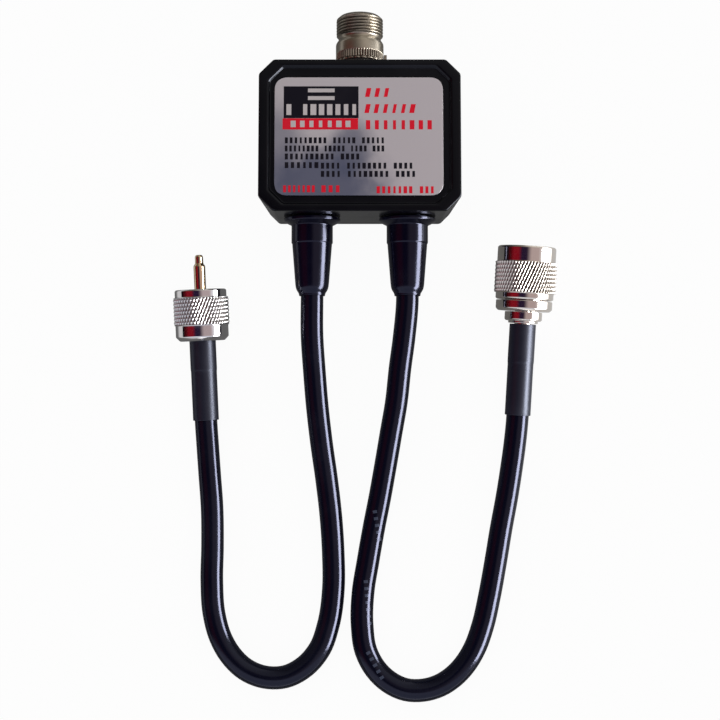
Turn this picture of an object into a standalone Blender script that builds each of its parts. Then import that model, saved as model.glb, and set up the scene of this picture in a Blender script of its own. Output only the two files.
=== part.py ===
"""RF duplexer: a moulded box with an N socket and two coax leads, one with a UHF plug and one with an N plug.

The box lies on its back, as it would on a bench. The origin is the centre of the rear
cover's back face. +X points to the right of the label, +Y to the antenna socket and +Z
out of the label. All sizes are in metres.
"""
import math

import bmesh
import bpy
from mathutils import Matrix, Vector

MM = 0.001

# Clearances
SEAT_GAP = 0.3 * MM
FIT_GAP = 0.2 * MM
TURN_GAP = 0.3 * MM
FLOOR_GAP = 0.02 * MM

# Facets round the turned pieces
FINE = 32
MEDIUM = 20
COARSE = 16

# Housing
HOUSING_WIDTH = 67.0 * MM
HOUSING_LENGTH = 51.3 * MM
HOUSING_DEPTH = 33.0 * MM
HOUSING_DRAFT = 2.35 * MM
CORNER_CUT = 4.9 * MM
WALL = 2.2 * MM
FRONT_EDGE_ROUND = 0.8 * MM
BACK_EDGE_ROUND = 0.6 * MM
RIM_SIDE = 3.2 * MM
RIM_END = 2.2 * MM
RECESS_DEPTH = 0.9 * MM
RECESS_SLOPE = 0.7 * MM
RECESS_CUT = 4.9 * MM
AXIS_HEIGHT = 16.5 * MM

# Rear cover
COVER_THICKNESS = 2.7 * MM
LIP_HEIGHT = 2.0 * MM
LIP_WALL = 1.5 * MM
SCREW_BOSS_RADIUS = 3.2 * MM
SCREW_FROM_SIDE = 6.7 * MM
SCREW_FROM_END = 7.05 * MM
SCREW_RADIUS = 1.4 * MM
SCREW_LENGTH = 11.0 * MM
SCREW_HEAD_RADIUS = 2.7 * MM
SCREW_HEAD_HEIGHT = 1.4 * MM
SCREW_SINK = 0.25 * MM
SCREW_RECESS_WIDTH = 0.7 * MM
SCREW_RECESS_LENGTH = 2.8 * MM
SCREW_RECESS_DEPTH = 0.9 * MM

# Label plate
LABEL_SIDE_MARGIN = 1.8 * MM
LABEL_END_MARGIN = 2.85 * MM
LABEL_CORNER = 3.6 * MM
LABEL_THICKNESS = 0.4 * MM
LABEL_SHIFT = -0.5 * MM

# Antenna socket, with places along +Y
SOCKET_BOSS_RADIUS = 8.7 * MM
SOCKET_BOSS_PROUD = 1.75 * MM
SOCKET_BOSS_BACK = 1.1 * MM
SOCKET_GASKET_THICKNESS = 0.6 * MM
SOCKET_GASKET_RADIUS = 8.5 * MM
SOCKET_WASHER_THICKNESS = 0.6 * MM
SOCKET_WASHER_RADIUS = 8.6 * MM
SOCKET_WASHER_SHIFT = 0.25 * MM
SOCKET_SHANK_RADIUS = 6.0 * MM
SOCKET_SHANK_PROUD = 0.3 * MM
SOCKET_COLLAR_RADIUS = 8.1 * MM
SOCKET_COLLAR_LENGTH = 5.9 * MM
SOCKET_COLLAR_CHAMFER = 1.4 * MM
SOCKET_NECK_RADIUS = 7.2 * MM
SOCKET_NECK_LENGTH = 1.0 * MM
SOCKET_THREAD_RADIUS = 7.94 * MM
SOCKET_THREAD_CHAMFER = 0.6 * MM
SOCKET_THREAD_LENGTH = 5.6 * MM
SOCKET_RIM_RADIUS = 6.8 * MM
SOCKET_RIM_CHAMFER = 1.2 * MM
SOCKET_MOUTH_RADIUS = 4.35 * MM
SOCKET_MOUTH_CHAMFER = 0.5 * MM
SOCKET_MOUTH_DEPTH = 9.4 * MM
SOCKET_REAR_LIP = 1.6 * MM
SOCKET_CONTACT_RADIUS = 1.5 * MM
SOCKET_CONTACT_REACH = 4.8 * MM
SOCKET_CONTACT_BORE = 0.85 * MM
SOCKET_CONTACT_BORE_DEPTH = 4.0 * MM
SOCKET_CUP_RADIUS = 1.1 * MM
SOCKET_CUP_LENGTH = 3.4 * MM
SOCKET_NUT_FLATS = 16.0 * MM
SOCKET_NUT_LENGTH = 3.4 * MM

# Strain reliefs
BOOT_FROM_SIDE = 17.5 * MM
BOOT_FLANGE_WALL = 5.5 * MM
BOOT_FLANGE_EDGE = 1.1 * MM
BOOT_SHOULDER_HEIGHT = 2.7 * MM
BOOT_ROOT_WALL = 2.95 * MM
BOOT_STEP_HEIGHT = 8.6 * MM
BOOT_STEP = 0.25 * MM
BOOT_TIP_WALL = 1.65 * MM
BOOT_LENGTH = 26.4 * MM
BOOT_TIP_ROUND = 3.2 * MM
BOOT_TIP_FACE_WALL = 0.6 * MM
BOOT_NECK_WALL = 2.1 * MM
BOOT_INNER_WALL = 3.2 * MM
BOOT_INNER_THICKNESS = 1.6 * MM

# Leads
CABLE_RADIUS = 3.8 * MM
CABLE_INNER_LENGTH = 13.0 * MM
CABLE_POINT_SPACING = 8.0 * MM
CABLE_SIDES_LEVEL = 2
CORE_RADIUS = 0.7 * MM
CORE_BEND = 3.0 * MM
LINK_BEND = 2.6 * MM
SLEEVE_WALL = 0.35 * MM

# Circuit board and the parts on it
BOARD_MARGIN = 1.2 * MM
BOARD_BOSS_GAP = 0.8 * MM
BOARD_THICKNESS = 1.6 * MM
BOARD_POST_RADIUS = 2.8 * MM
BOARD_POST_EDGE = 3.9 * MM
BOARD_SCREW_RADIUS = 1.1 * MM
BOARD_SCREW_HEAD_RADIUS = 2.2 * MM
BOARD_SCREW_HEAD_HEIGHT = 1.3 * MM
BOARD_SCREW_REACH = 5.0 * MM
PARTITION_THICKNESS = 0.8 * MM
PARTITION_EDGE = 0.4 * MM
PARTITION_GAP = 2.0 * MM
ROW_GAP = 1.6 * MM
COIL_RADIUS = 3.6 * MM
COIL_WIRE_RADIUS = 0.55 * MM
COIL_PITCH = 1.8 * MM
COIL_TURNS = 4
COIL_STEPS_PER_TURN = 8
COIL_LIFT = 1.2 * MM
CAPACITOR_RADIUS = 3.4 * MM
CAPACITOR_THICKNESS = 2.4 * MM
CAPACITOR_PLACE_X = 5.0 * MM
CAPACITOR_LEG_RADIUS = 0.4 * MM
CAPACITOR_LEG_SPREAD = 2.5 * MM
CAPACITOR_LIFT = 1.6 * MM
CLAMP_WALL = 0.9 * MM
CLAMP_WIDTH = 4.0 * MM
CLAMP_DEPTH = 9.0 * MM

# UHF plug, with places along its axis from the coupling ring's rear end
UHF_PLACE = (-53.1 * MM, -65.2 * MM)
UHF_HEADING = math.radians(2.44)
UHF_PITCH = math.radians(8.5)
UHF_RING_LENGTH = 17.35 * MM
UHF_RING_KNURL_RADIUS = 9.4 * MM
UHF_RING_KNURL_START = 5.45 * MM
UHF_RING_KNURL_END = 14.6 * MM
UHF_RING_REAR_RADIUS = 8.9 * MM
UHF_RING_FRONT_RADIUS = 8.7 * MM
UHF_RING_REAR_FACE = 7.5 * MM
UHF_RING_REAR_CHAMFER = 1.4 * MM
UHF_RING_EDGE = 0.4 * MM
UHF_RING_BORE = 7.55 * MM
UHF_RING_WEB = 4.2 * MM
UHF_BODY_NECK_RADIUS = 5.6 * MM
UHF_BODY_REAR = 0.6 * MM
UHF_BODY_SHOULDER_RADIUS = 7.2 * MM
UHF_BODY_SHOULDER = 1.8 * MM
UHF_BODY_BARREL_RADIUS = 5.9 * MM
UHF_BODY_BARREL_END = 14.5 * MM
UHF_BODY_BORE = 4.95 * MM
UHF_BODY_BACK_WALL = 1.9 * MM
UHF_BODY_NOTCH_WIDTH = 1.6 * MM
UHF_BODY_NOTCH_DEPTH = 1.3 * MM
UHF_BODY_NOTCHES = 4
UHF_PIN_RADIUS = 1.975 * MM
UHF_PIN_REACH = 11.7 * MM
UHF_PIN_TIP_RADIUS = 1.35 * MM
UHF_PIN_TIP_LENGTH = 3.7 * MM
UHF_PIN_TIP_TAPER = 0.7 * MM
UHF_SLEEVE_END = 26.8 * MM

# N plug, with places along its axis from the body's rear face
N_PLACE = (55.4 * MM, -55.2 * MM)
N_HEADING = math.radians(-3.3)
N_PITCH = math.radians(8.0)
N_LENGTH = 21.8 * MM
N_NUT_START = 3.8 * MM
N_NUT_REAR_RADIUS = 9.75 * MM
N_NUT_KNURL_RADIUS = 10.45 * MM
N_NUT_KNURL_START = 6.2 * MM
N_NUT_KNURL_END = 16.4 * MM
N_NUT_FRONT_RADIUS = 9.85 * MM
N_NUT_EDGE = 0.45 * MM
N_NUT_BORE = 7.55 * MM
N_NUT_MOUTH = 8.1 * MM
N_NUT_WEB = 3.1 * MM
N_BODY_FLANGE_RADIUS = 9.5 * MM
N_BODY_FLANGE_CHAMFER = 0.8 * MM
N_BODY_NECK_RADIUS = 6.4 * MM
N_BODY_NECK_END = 12.0 * MM
N_BODY_GROOVE_RADIUS = 5.9 * MM
N_BODY_CONTACT_RADIUS = 4.15 * MM
N_BODY_CONTACT_BORE = 3.5 * MM
N_BODY_CONTACT_END = 20.4 * MM
N_BODY_BACK_WALL = 5.0 * MM
N_SNAP_RING_RADIUS = 7.3 * MM
N_SNAP_RING_THICKNESS = 0.7 * MM
N_GASKET_RADIUS = 6.6 * MM
N_GASKET_THICKNESS = 1.2 * MM
N_PIN_RADIUS = 0.8 * MM
N_PIN_ROOT_RADIUS = 1.0 * MM
N_PIN_END = 19.2 * MM
N_INSULATOR_LENGTH = 9.2 * MM
N_CLAMP_RADIUS = 6.3 * MM
N_CLAMP_LENGTH = 3.0 * MM
N_CLAMP_STEP_RADIUS = 5.0 * MM
N_CLAMP_STEP = 0.8 * MM
N_SLEEVE_END = 35.2 * MM

# Crimp ends that both plugs share
FERRULE_STEP = 0.1 * MM
FERRULE_WALL = 0.75 * MM
FERRULE_LENGTH_UHF = 10.0 * MM
FERRULE_LENGTH_N = 12.8 * MM
SPIGOT_RADIUS = 2.9 * MM
SPIGOT_BORE = 1.7 * MM
SPIGOT_SHORTFALL = 1.2 * MM

# Hand-chosen points of the free leads, from the strain relief to the sleeve
LOW_BAND_ROUTE = [
    (-16.0, -64.0, 13.5), (-15.2, -76.0, 12.1), (-14.2, -88.0, 10.3), (-12.8, -100.0, 8.2),
    (-11.1, -112.0, 6.2), (-9.7, -124.0, 4.8), (-8.9, -136.0, 4.0), (-8.8, -148.0, 3.85),
    (-10.5, -160.3, 3.85), (-13.3, -168.1, 3.85), (-18.1, -173.8, 3.85), (-24.8, -177.3, 3.85),
    (-31.7, -177.4, 3.85), (-38.0, -174.9, 3.85), (-43.0, -170.2, 3.85), (-46.4, -164.4, 3.85),
    (-48.7, -156.3, 3.85), (-49.5, -146.0, 3.85), (-49.4, -134.0, 3.85), (-49.7, -121.0, 3.85),
    (-50.6, -110.0, 3.85), (-51.4, -100.0, 3.9),
]
HIGH_BAND_ROUTE = [
    (14.9, -64.5, 13.5), (13.5, -75.0, 12.3), (12.3, -86.0, 10.7), (10.5, -96.5, 8.9),
    (8.7, -107.0, 7.0), (6.8, -117.6, 5.4), (4.7, -128.2, 4.3), (2.8, -139.0, 3.9),
    (1.1, -149.6, 3.85), (0.8, -160.3, 3.85), (2.1, -168.9, 3.85), (5.2, -174.7, 3.85),
    (9.7, -179.0, 3.85), (15.2, -181.5, 3.85), (21.1, -181.7, 3.85), (26.5, -180.2, 3.85),
    (31.1, -177.3, 3.85), (34.9, -173.4, 3.85), (38.0, -168.5, 3.85), (41.1, -160.3, 3.85),
    (43.2, -151.5, 3.85), (45.6, -139.0, 3.85), (47.5, -128.2, 3.85), (49.6, -117.4, 3.85),
    (51.4, -106.6, 3.85), (52.6, -98.2, 3.9),
]

FINISHES = {
    "black_plastic": ((0.012, 0.012, 0.014), 0.45, 0.0),
    "black_rubber": ((0.010, 0.010, 0.012), 0.30, 0.0),
    "black_jacket": ((0.012, 0.012, 0.016), 0.28, 0.0),
    "silver_label": ((0.52, 0.50, 0.53), 0.35, 0.6),
    "nickel": ((0.58, 0.55, 0.51), 0.18, 1.0),
    "gold": ((0.83, 0.60, 0.28), 0.20, 1.0),
    "white_insulator": ((0.85, 0.85, 0.82), 0.5, 0.0),
    "steel_screw": ((0.50, 0.50, 0.50), 0.3, 1.0),
    "green_board": ((0.03, 0.18, 0.07), 0.5, 0.0),
    "tin_plate": ((0.62, 0.62, 0.60), 0.35, 1.0),
    "copper_wire": ((0.80, 0.42, 0.24), 0.3, 1.0),
    "ceramic": ((0.62, 0.34, 0.10), 0.5, 0.0),
    "red_seal": ((0.55, 0.08, 0.04), 0.5, 0.0),
}


def clear_scene():
    """Remove every object of the open file."""
    for thing in list(bpy.data.objects):
        bpy.data.objects.remove(thing, do_unlink=True)


def finish(name):
    """Return the material of a finish, made on first use."""
    if name in bpy.data.materials:
        return bpy.data.materials[name]
    colour, roughness, metallic = FINISHES[name]
    material = bpy.data.materials.new(name)
    material.use_nodes = True
    shader = material.node_tree.nodes["Principled BSDF"]
    shader.inputs["Base Color"].default_value = (*colour, 1.0)
    shader.inputs["Roughness"].default_value = roughness
    shader.inputs["Metallic"].default_value = metallic
    return material


def link(name, data, finish_name, parent=None):
    """Put a mesh or curve into the scene as a named object with its material."""
    thing = bpy.data.objects.new(name, data)
    data.materials.append(finish(finish_name))
    bpy.context.collection.objects.link(thing)
    thing.parent = parent
    return thing


def mesh_object(name, bm, finish_name, parent=None, smooth_angle=None):
    """Close a bmesh into an object, with its faces pointing out."""
    bmesh.ops.recalc_face_normals(bm, faces=bm.faces)
    mesh = bpy.data.meshes.new(name)
    bm.to_mesh(mesh)
    bm.free()
    if smooth_angle is not None:
        mesh.shade_smooth()
        mesh.set_sharp_from_angle(angle=math.radians(smooth_angle))
    return link(name, mesh, finish_name, parent)


def axis_empty(name, place, tilt, heading=0.0):
    """Make an empty whose local Z is a turned piece's axis."""
    empty = bpy.data.objects.new(name, None)
    bpy.context.collection.objects.link(empty)
    turn = Matrix.Rotation(heading, 4, "Z") @ Matrix.Rotation(tilt, 4, "X")
    empty.matrix_world = Matrix.Translation(place) @ turn
    return empty


def on_axis(axis, distance):
    """Return the world point at a distance along an axis empty."""
    return axis.matrix_world @ Vector((0.0, 0.0, distance))


def turned(name, profile, segments, finish_name, parent=None):
    """Turn an outline of (radius, place) points about the local Z axis.

    An outline that starts and ends on the axis makes a solid piece, any other a ring.
    """
    bm = bmesh.new()
    points = [bm.verts.new((radius, 0.0, place)) for radius, place in profile]
    edges = [bm.edges.new(pair) for pair in zip(points, points[1:])]
    if profile[0][0] > 0.0:
        edges.append(bm.edges.new((points[-1], points[0])))
    bmesh.ops.spin(
        bm, geom=points + edges, cent=(0.0, 0.0, 0.0), axis=(0.0, 0.0, 1.0),
        steps=segments, angle=math.tau, use_merge=True,
    )
    bmesh.ops.remove_doubles(bm, verts=bm.verts, dist=0.0005 * MM)
    return mesh_object(name, bm, finish_name, parent, smooth_angle=35.0)


def skinned(name, outlines, finish_name, parent=None, smooth_angle=None):
    """Skin a stack of outlines with equal numbers of points and close both ends."""
    bm = bmesh.new()
    rings = [[bm.verts.new(point) for point in outline] for outline in outlines]
    for lower, upper in zip(rings, rings[1:]):
        for i, start in enumerate(lower):
            j = (i + 1) % len(lower)
            bm.faces.new((start, lower[j], upper[j], upper[i]))
    bm.faces.new(rings[0])
    bm.faces.new(rings[-1])
    return mesh_object(name, bm, finish_name, parent, smooth_angle)


def combine(target, tool, operation):
    """Fuse a tool to the target or cut it away, and keep the tool as a guide."""
    tool.hide_render = True
    tool.display_type = "WIRE"
    step = target.modifiers.new(f"{operation.lower()}_{tool.name}", "BOOLEAN")
    step.object = tool
    step.operation = operation
    step.solver = "EXACT"


def cylinders(name, places, radius, low, high, segments, parent=None):
    """Make one guide of upright cylinders at several (x, y) places."""
    bm = bmesh.new()
    for x, y in places:
        centre = Matrix.Translation((x, y, (low + high) / 2))
        bmesh.ops.create_cone(
            bm, cap_ends=True, segments=segments, radius1=radius, radius2=radius,
            depth=high - low, matrix=centre,
        )
    return mesh_object(name, bm, "black_plastic", parent)


def box(name, low, high, finish_name, parent=None, turn=0.0):
    """Make a block between two corners, turned about Z through the origin."""
    bm = bmesh.new()
    size = Vector(high) - Vector(low)
    centre = (Vector(high) + Vector(low)) / 2
    place = Matrix.Rotation(turn, 4, "Z") @ Matrix.Translation(centre) @ Matrix.Diagonal((*size, 1.0))
    bmesh.ops.create_cube(bm, size=1.0, matrix=place)
    return mesh_object(name, bm, finish_name, parent)


def wire(name, points, radius, finish_name, sides_level=1, parent=None):
    """Draw a round wire through points, with closed ends."""
    curve = bpy.data.curves.new(name, "CURVE")
    curve.dimensions = "3D"
    curve.bevel_depth = radius
    curve.bevel_resolution = sides_level
    curve.use_fill_caps = True
    spline = curve.splines.new("POLY")
    spline.points.add(len(points) - 1)
    for slot, point in zip(spline.points, points):
        slot.co = (*point, 1.0)
    return link(name, curve, finish_name, parent)


def octagon(half_x, half_y, cut, height):
    """Return a rectangle with four cut corners at a height, counter-clockwise."""
    return [
        (half_x, half_y - cut, height), (half_x - cut, half_y, height),
        (-half_x + cut, half_y, height), (-half_x, half_y - cut, height),
        (-half_x, -half_y + cut, height), (-half_x + cut, -half_y, height),
        (half_x - cut, -half_y, height), (half_x, -half_y + cut, height),
    ]


def draft_at(height):
    """Return how far the outer wall leans in at a height above the back."""
    return HOUSING_DRAFT * (HOUSING_DEPTH - height) / HOUSING_DEPTH


def housing_outline(inset, height):
    """Return the housing's octagon, moved in evenly from its drafted outer wall."""
    total = inset + draft_at(height)
    cut = CORNER_CUT - (2.0 - math.sqrt(2.0)) * total
    return octagon(HOUSING_WIDTH / 2 - total, HOUSING_LENGTH / 2 - total, cut, height)


def rounded_rectangle(width, length, corner, height, shift_y=0.0, steps=5):
    """Return a rectangle with round corners at a height, counter-clockwise."""
    points = []
    for quarter in range(4):
        side_x = 1 if quarter in (0, 3) else -1
        side_y = 1 if quarter < 2 else -1
        centre_x = side_x * (width / 2 - corner)
        centre_y = side_y * (length / 2 - corner) + shift_y
        for step in range(steps + 1):
            angle = math.pi / 2 * (quarter + step / steps)
            points.append((centre_x + corner * math.cos(angle), centre_y + corner * math.sin(angle), height))
    return points


def screw_places():
    """Return the four (x, y) places of the cover screws."""
    x = HOUSING_WIDTH / 2 - SCREW_FROM_SIDE
    y = HOUSING_LENGTH / 2 - SCREW_FROM_END
    return [(sx * x, sy * y) for sx in (-1, 1) for sy in (-1, 1)]


def board_post_places():
    """Return the two (x, y) places of the board's posts."""
    return [(-BOARD_POST_X, 0.0), (BOARD_POST_X, 0.0)]


PARTING_HEIGHT = COVER_THICKNESS + SEAT_GAP
RECESS_FLOOR = HOUSING_DEPTH - RECESS_DEPTH
CEILING = RECESS_FLOOR - WALL
LIP_TOP = PARTING_HEIGHT + LIP_HEIGHT
BOARD_HEIGHT = LIP_TOP + SEAT_GAP
BOARD_TOP = BOARD_HEIGHT + BOARD_THICKNESS
DRAFT_ANGLE = math.atan2(HOUSING_DRAFT, HOUSING_DEPTH)
WALL_AT_AXIS = HOUSING_LENGTH / 2 - draft_at(AXIS_HEIGHT)
BOOT_PLACE_X = HOUSING_WIDTH / 2 - BOOT_FROM_SIDE
BOOT_BORE = CABLE_RADIUS + FIT_GAP
FERRULE_RADIUS = CABLE_RADIUS + FERRULE_STEP
BOARD_HALF_WIDTH = HOUSING_WIDTH / 2 - draft_at(BOARD_HEIGHT) - WALL - BOARD_MARGIN
BOARD_HALF_LENGTH = HOUSING_LENGTH / 2 - draft_at(BOARD_HEIGHT) - WALL - BOARD_MARGIN
BOARD_POST_X = BOARD_HALF_WIDTH - BOARD_POST_EDGE
SOCKET_BOSS_INNER = WALL_AT_AXIS - WALL - SOCKET_BOSS_BACK
SOCKET_BOSS_FACE = HOUSING_LENGTH / 2 + SOCKET_BOSS_PROUD
SOCKET_SHANK_END = SOCKET_BOSS_INNER - SEAT_GAP - SOCKET_NUT_LENGTH - SOCKET_SHANK_PROUD
SOCKET_CUP_END = SOCKET_SHANK_END - SOCKET_CUP_LENGTH


def front_cover(socket_axis, boot_axes):
    """Mould the front shell with its rim, recess, bosses and holes."""
    half_x = HOUSING_WIDTH / 2
    half_y = HOUSING_LENGTH / 2
    round_part = FRONT_EDGE_ROUND * (1.0 - math.sqrt(0.5))
    outlines = [
        octagon(half_x - RIM_SIDE - RECESS_SLOPE, half_y - RIM_END - RECESS_SLOPE, RECESS_CUT, RECESS_FLOOR),
        octagon(half_x - RIM_SIDE, half_y - RIM_END, RECESS_CUT, HOUSING_DEPTH),
        housing_outline(FRONT_EDGE_ROUND, HOUSING_DEPTH),
        housing_outline(round_part, HOUSING_DEPTH - round_part),
        housing_outline(0.0, HOUSING_DEPTH - FRONT_EDGE_ROUND),
        housing_outline(0.0, PARTING_HEIGHT),
        housing_outline(WALL, PARTING_HEIGHT),
        housing_outline(WALL, CEILING),
    ]
    shell = skinned("front_cover", outlines, "black_plastic")
    into_ceiling = CEILING + WALL / 2
    boss_foot = PARTING_HEIGHT + SEAT_GAP
    bosses = cylinders("screw_bosses", screw_places(), SCREW_BOSS_RADIUS, boss_foot, into_ceiling, COARSE)
    combine(shell, bosses, "UNION")
    posts = cylinders(
        "board_posts", board_post_places(), BOARD_POST_RADIUS, BOARD_TOP + SEAT_GAP, into_ceiling, COARSE,
    )
    combine(shell, posts, "UNION")
    for boot_axis in boot_axes:
        hole = cylinders(
            f"hole_{boot_axis.name}", [(0.0, 0.0)], BOOT_BORE + BOOT_NECK_WALL + TURN_GAP,
            -2 * WALL, WALL, MEDIUM, boot_axis,
        )
        combine(shell, hole, "DIFFERENCE")
    screw_tip = SCREW_SINK + SCREW_LENGTH
    pilots = cylinders(
        "screw_pilots", screw_places(), SCREW_RADIUS + TURN_GAP, 0.0, screw_tip + SEAT_GAP, COARSE,
    )
    combine(shell, pilots, "DIFFERENCE")
    post_pilots = cylinders(
        "post_pilots", board_post_places(), BOARD_SCREW_RADIUS + TURN_GAP,
        BOARD_HEIGHT, BOARD_TOP + BOARD_SCREW_REACH + 2 * SEAT_GAP, COARSE,
    )
    combine(shell, post_pilots, "DIFFERENCE")
    boss_profile = [
        (0.0, SOCKET_BOSS_INNER), (SOCKET_BOSS_RADIUS, SOCKET_BOSS_INNER),
        (SOCKET_BOSS_RADIUS, SOCKET_BOSS_FACE), (0.0, SOCKET_BOSS_FACE),
    ]
    boss = turned("socket_boss", boss_profile, MEDIUM, "black_plastic", socket_axis)
    combine(shell, boss, "UNION")
    socket_hole_radius = SOCKET_SHANK_RADIUS + TURN_GAP
    socket_hole = cylinders(
        "socket_hole", [(0.0, 0.0)], socket_hole_radius, SOCKET_BOSS_INNER - WALL, SOCKET_BOSS_FACE + WALL,
        MEDIUM, socket_axis,
    )
    combine(shell, socket_hole, "DIFFERENCE")
    return shell


def rear_cover():
    """Mould the lid with its locating lip and countersunk screw holes."""
    lip_inset = WALL + TURN_GAP
    floor_height = COVER_THICKNESS - SEAT_GAP
    outlines = [
        housing_outline(BACK_EDGE_ROUND, 0.0),
        housing_outline(0.0, BACK_EDGE_ROUND),
        housing_outline(0.0, COVER_THICKNESS),
        housing_outline(lip_inset, COVER_THICKNESS),
        housing_outline(lip_inset, LIP_TOP),
        housing_outline(lip_inset + LIP_WALL, LIP_TOP),
        housing_outline(lip_inset + LIP_WALL, floor_height),
    ]
    cover = skinned("rear_cover", outlines, "black_plastic")
    boss_room = cylinders(
        "boss_room", screw_places(), SCREW_BOSS_RADIUS + SEAT_GAP, COVER_THICKNESS, LIP_TOP + WALL, COARSE,
    )
    combine(cover, boss_room, "DIFFERENCE")
    mouth_radius = SCREW_HEAD_RADIUS + TURN_GAP
    for index, (x, y) in enumerate(screw_places(), start=1):
        sink_axis = axis_empty(f"cover_hole_axis_{index}", (x, y, 0.0), 0.0)
        profile = [
            (0.0, -WALL), (mouth_radius, -WALL), (mouth_radius, SCREW_SINK),
            (SCREW_RADIUS + TURN_GAP, SCREW_SINK + SCREW_HEAD_HEIGHT),
            (SCREW_RADIUS + TURN_GAP, 2 * COVER_THICKNESS), (0.0, 2 * COVER_THICKNESS),
        ]
        sink = turned(f"cover_hole_{index}", profile, COARSE, "black_plastic", sink_axis)
        combine(cover, sink, "DIFFERENCE")
    return cover


def cover_screws():
    """Turn the four countersunk screws and cut their cross recesses."""
    for index, (x, y) in enumerate(screw_places(), start=1):
        axis = axis_empty(f"cover_screw_axis_{index}", (x, y, SCREW_SINK), 0.0)
        profile = [
            (0.0, 0.0), (SCREW_HEAD_RADIUS, 0.0), (SCREW_HEAD_RADIUS - FIT_GAP, FIT_GAP),
            (SCREW_RADIUS, SCREW_HEAD_HEIGHT), (SCREW_RADIUS, SCREW_LENGTH - SCREW_RADIUS),
            (0.0, SCREW_LENGTH),
        ]
        screw = turned(f"cover_screw_{index}", profile, COARSE, "steel_screw", axis)
        for arm in range(2):
            recess = box(
                f"cross_{index}_{arm}",
                (-SCREW_RECESS_LENGTH / 2, -SCREW_RECESS_WIDTH / 2, -SCREW_RECESS_DEPTH),
                (SCREW_RECESS_LENGTH / 2, SCREW_RECESS_WIDTH / 2, SCREW_RECESS_DEPTH),
                "steel_screw", axis, turn=arm * math.pi / 2,
            )
            combine(screw, recess, "DIFFERENCE")


def label_plate():
    """Cut the thin label plate with its round corners."""
    low = RECESS_FLOOR + SEAT_GAP
    width = HOUSING_WIDTH - 2 * (RIM_SIDE + RECESS_SLOPE + LABEL_SIDE_MARGIN)
    length = HOUSING_LENGTH - 2 * (RIM_END + RECESS_SLOPE + LABEL_END_MARGIN)
    outlines = [
        rounded_rectangle(width, length, LABEL_CORNER, height, LABEL_SHIFT)
        for height in (low, low + LABEL_THICKNESS)
    ]
    return skinned("label_plate", outlines, "silver_label")


GASKET_START = SOCKET_BOSS_FACE + SEAT_GAP
WASHER_START = GASKET_START + SOCKET_GASKET_THICKNESS + SEAT_GAP
COLLAR_START = WASHER_START + SOCKET_WASHER_THICKNESS + SEAT_GAP
COLLAR_END = COLLAR_START + SOCKET_COLLAR_LENGTH
NECK_START = COLLAR_END + SOCKET_COLLAR_CHAMFER
NECK_END = NECK_START + SOCKET_NECK_LENGTH
THREAD_START = NECK_END + SOCKET_THREAD_CHAMFER
THREAD_END = THREAD_START + SOCKET_THREAD_LENGTH
SOCKET_FACE = THREAD_END + SOCKET_RIM_CHAMFER
INSULATOR_FACE = SOCKET_FACE - SOCKET_MOUTH_DEPTH


def socket_body(axis):
    """Turn the socket's body: shank, collar, neck, thread blank and mouth."""
    bore = SOCKET_MOUTH_RADIUS
    profile = [
        (SOCKET_SHANK_RADIUS, SOCKET_SHANK_END), (SOCKET_SHANK_RADIUS, COLLAR_START),
        (SOCKET_COLLAR_RADIUS, COLLAR_START), (SOCKET_COLLAR_RADIUS, COLLAR_END),
        (SOCKET_NECK_RADIUS, NECK_START), (SOCKET_NECK_RADIUS, NECK_END),
        (SOCKET_THREAD_RADIUS, THREAD_START), (SOCKET_THREAD_RADIUS, THREAD_END),
        (SOCKET_RIM_RADIUS, SOCKET_FACE), (bore + SOCKET_MOUTH_CHAMFER, SOCKET_FACE),
        (bore, SOCKET_FACE - SOCKET_MOUTH_CHAMFER), (bore, SOCKET_SHANK_END + SOCKET_REAR_LIP),
        (bore - SOCKET_REAR_LIP / 2, SOCKET_SHANK_END + SOCKET_REAR_LIP),
        (bore - SOCKET_REAR_LIP / 2, SOCKET_SHANK_END),
    ]
    return turned("socket_body", profile, FINE, "nickel", axis)


def socket_insulator(axis):
    """Turn the white insulator that fills the socket's bore."""
    outer = SOCKET_MOUTH_RADIUS - FIT_GAP
    inner = SOCKET_CONTACT_RADIUS + FIT_GAP
    low = SOCKET_SHANK_END + SOCKET_REAR_LIP + SEAT_GAP
    profile = [(outer, low), (outer, INSULATOR_FACE), (inner, INSULATOR_FACE), (inner, low)]
    return turned("socket_insulator", profile, MEDIUM, "white_insulator", axis)


def socket_contact(axis):
    """Turn the centre contact with its bore in front and solder cup behind."""
    tip = SOCKET_FACE - SOCKET_CONTACT_REACH
    bore_floor = tip - SOCKET_CONTACT_BORE_DEPTH
    shoulder = SOCKET_SHANK_END + SOCKET_REAR_LIP
    profile = [
        (0.0, SOCKET_CUP_END), (SOCKET_CUP_RADIUS, SOCKET_CUP_END), (SOCKET_CUP_RADIUS, shoulder),
        (SOCKET_CONTACT_RADIUS, shoulder), (SOCKET_CONTACT_RADIUS, tip),
        (SOCKET_CONTACT_BORE, tip), (SOCKET_CONTACT_BORE, bore_floor), (0.0, bore_floor),
    ]
    return turned("socket_contact", profile, COARSE, "gold", axis)


def flat_ring(name, inner, outer, low, high, segments, finish_name, axis, shift=0.0):
    """Turn a plain ring and shift it sideways by a little play."""
    profile = [(inner, low), (outer, low), (outer, high), (inner, high)]
    ring = turned(name, profile, segments, finish_name, axis)
    ring.location.x = shift
    return ring


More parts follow.
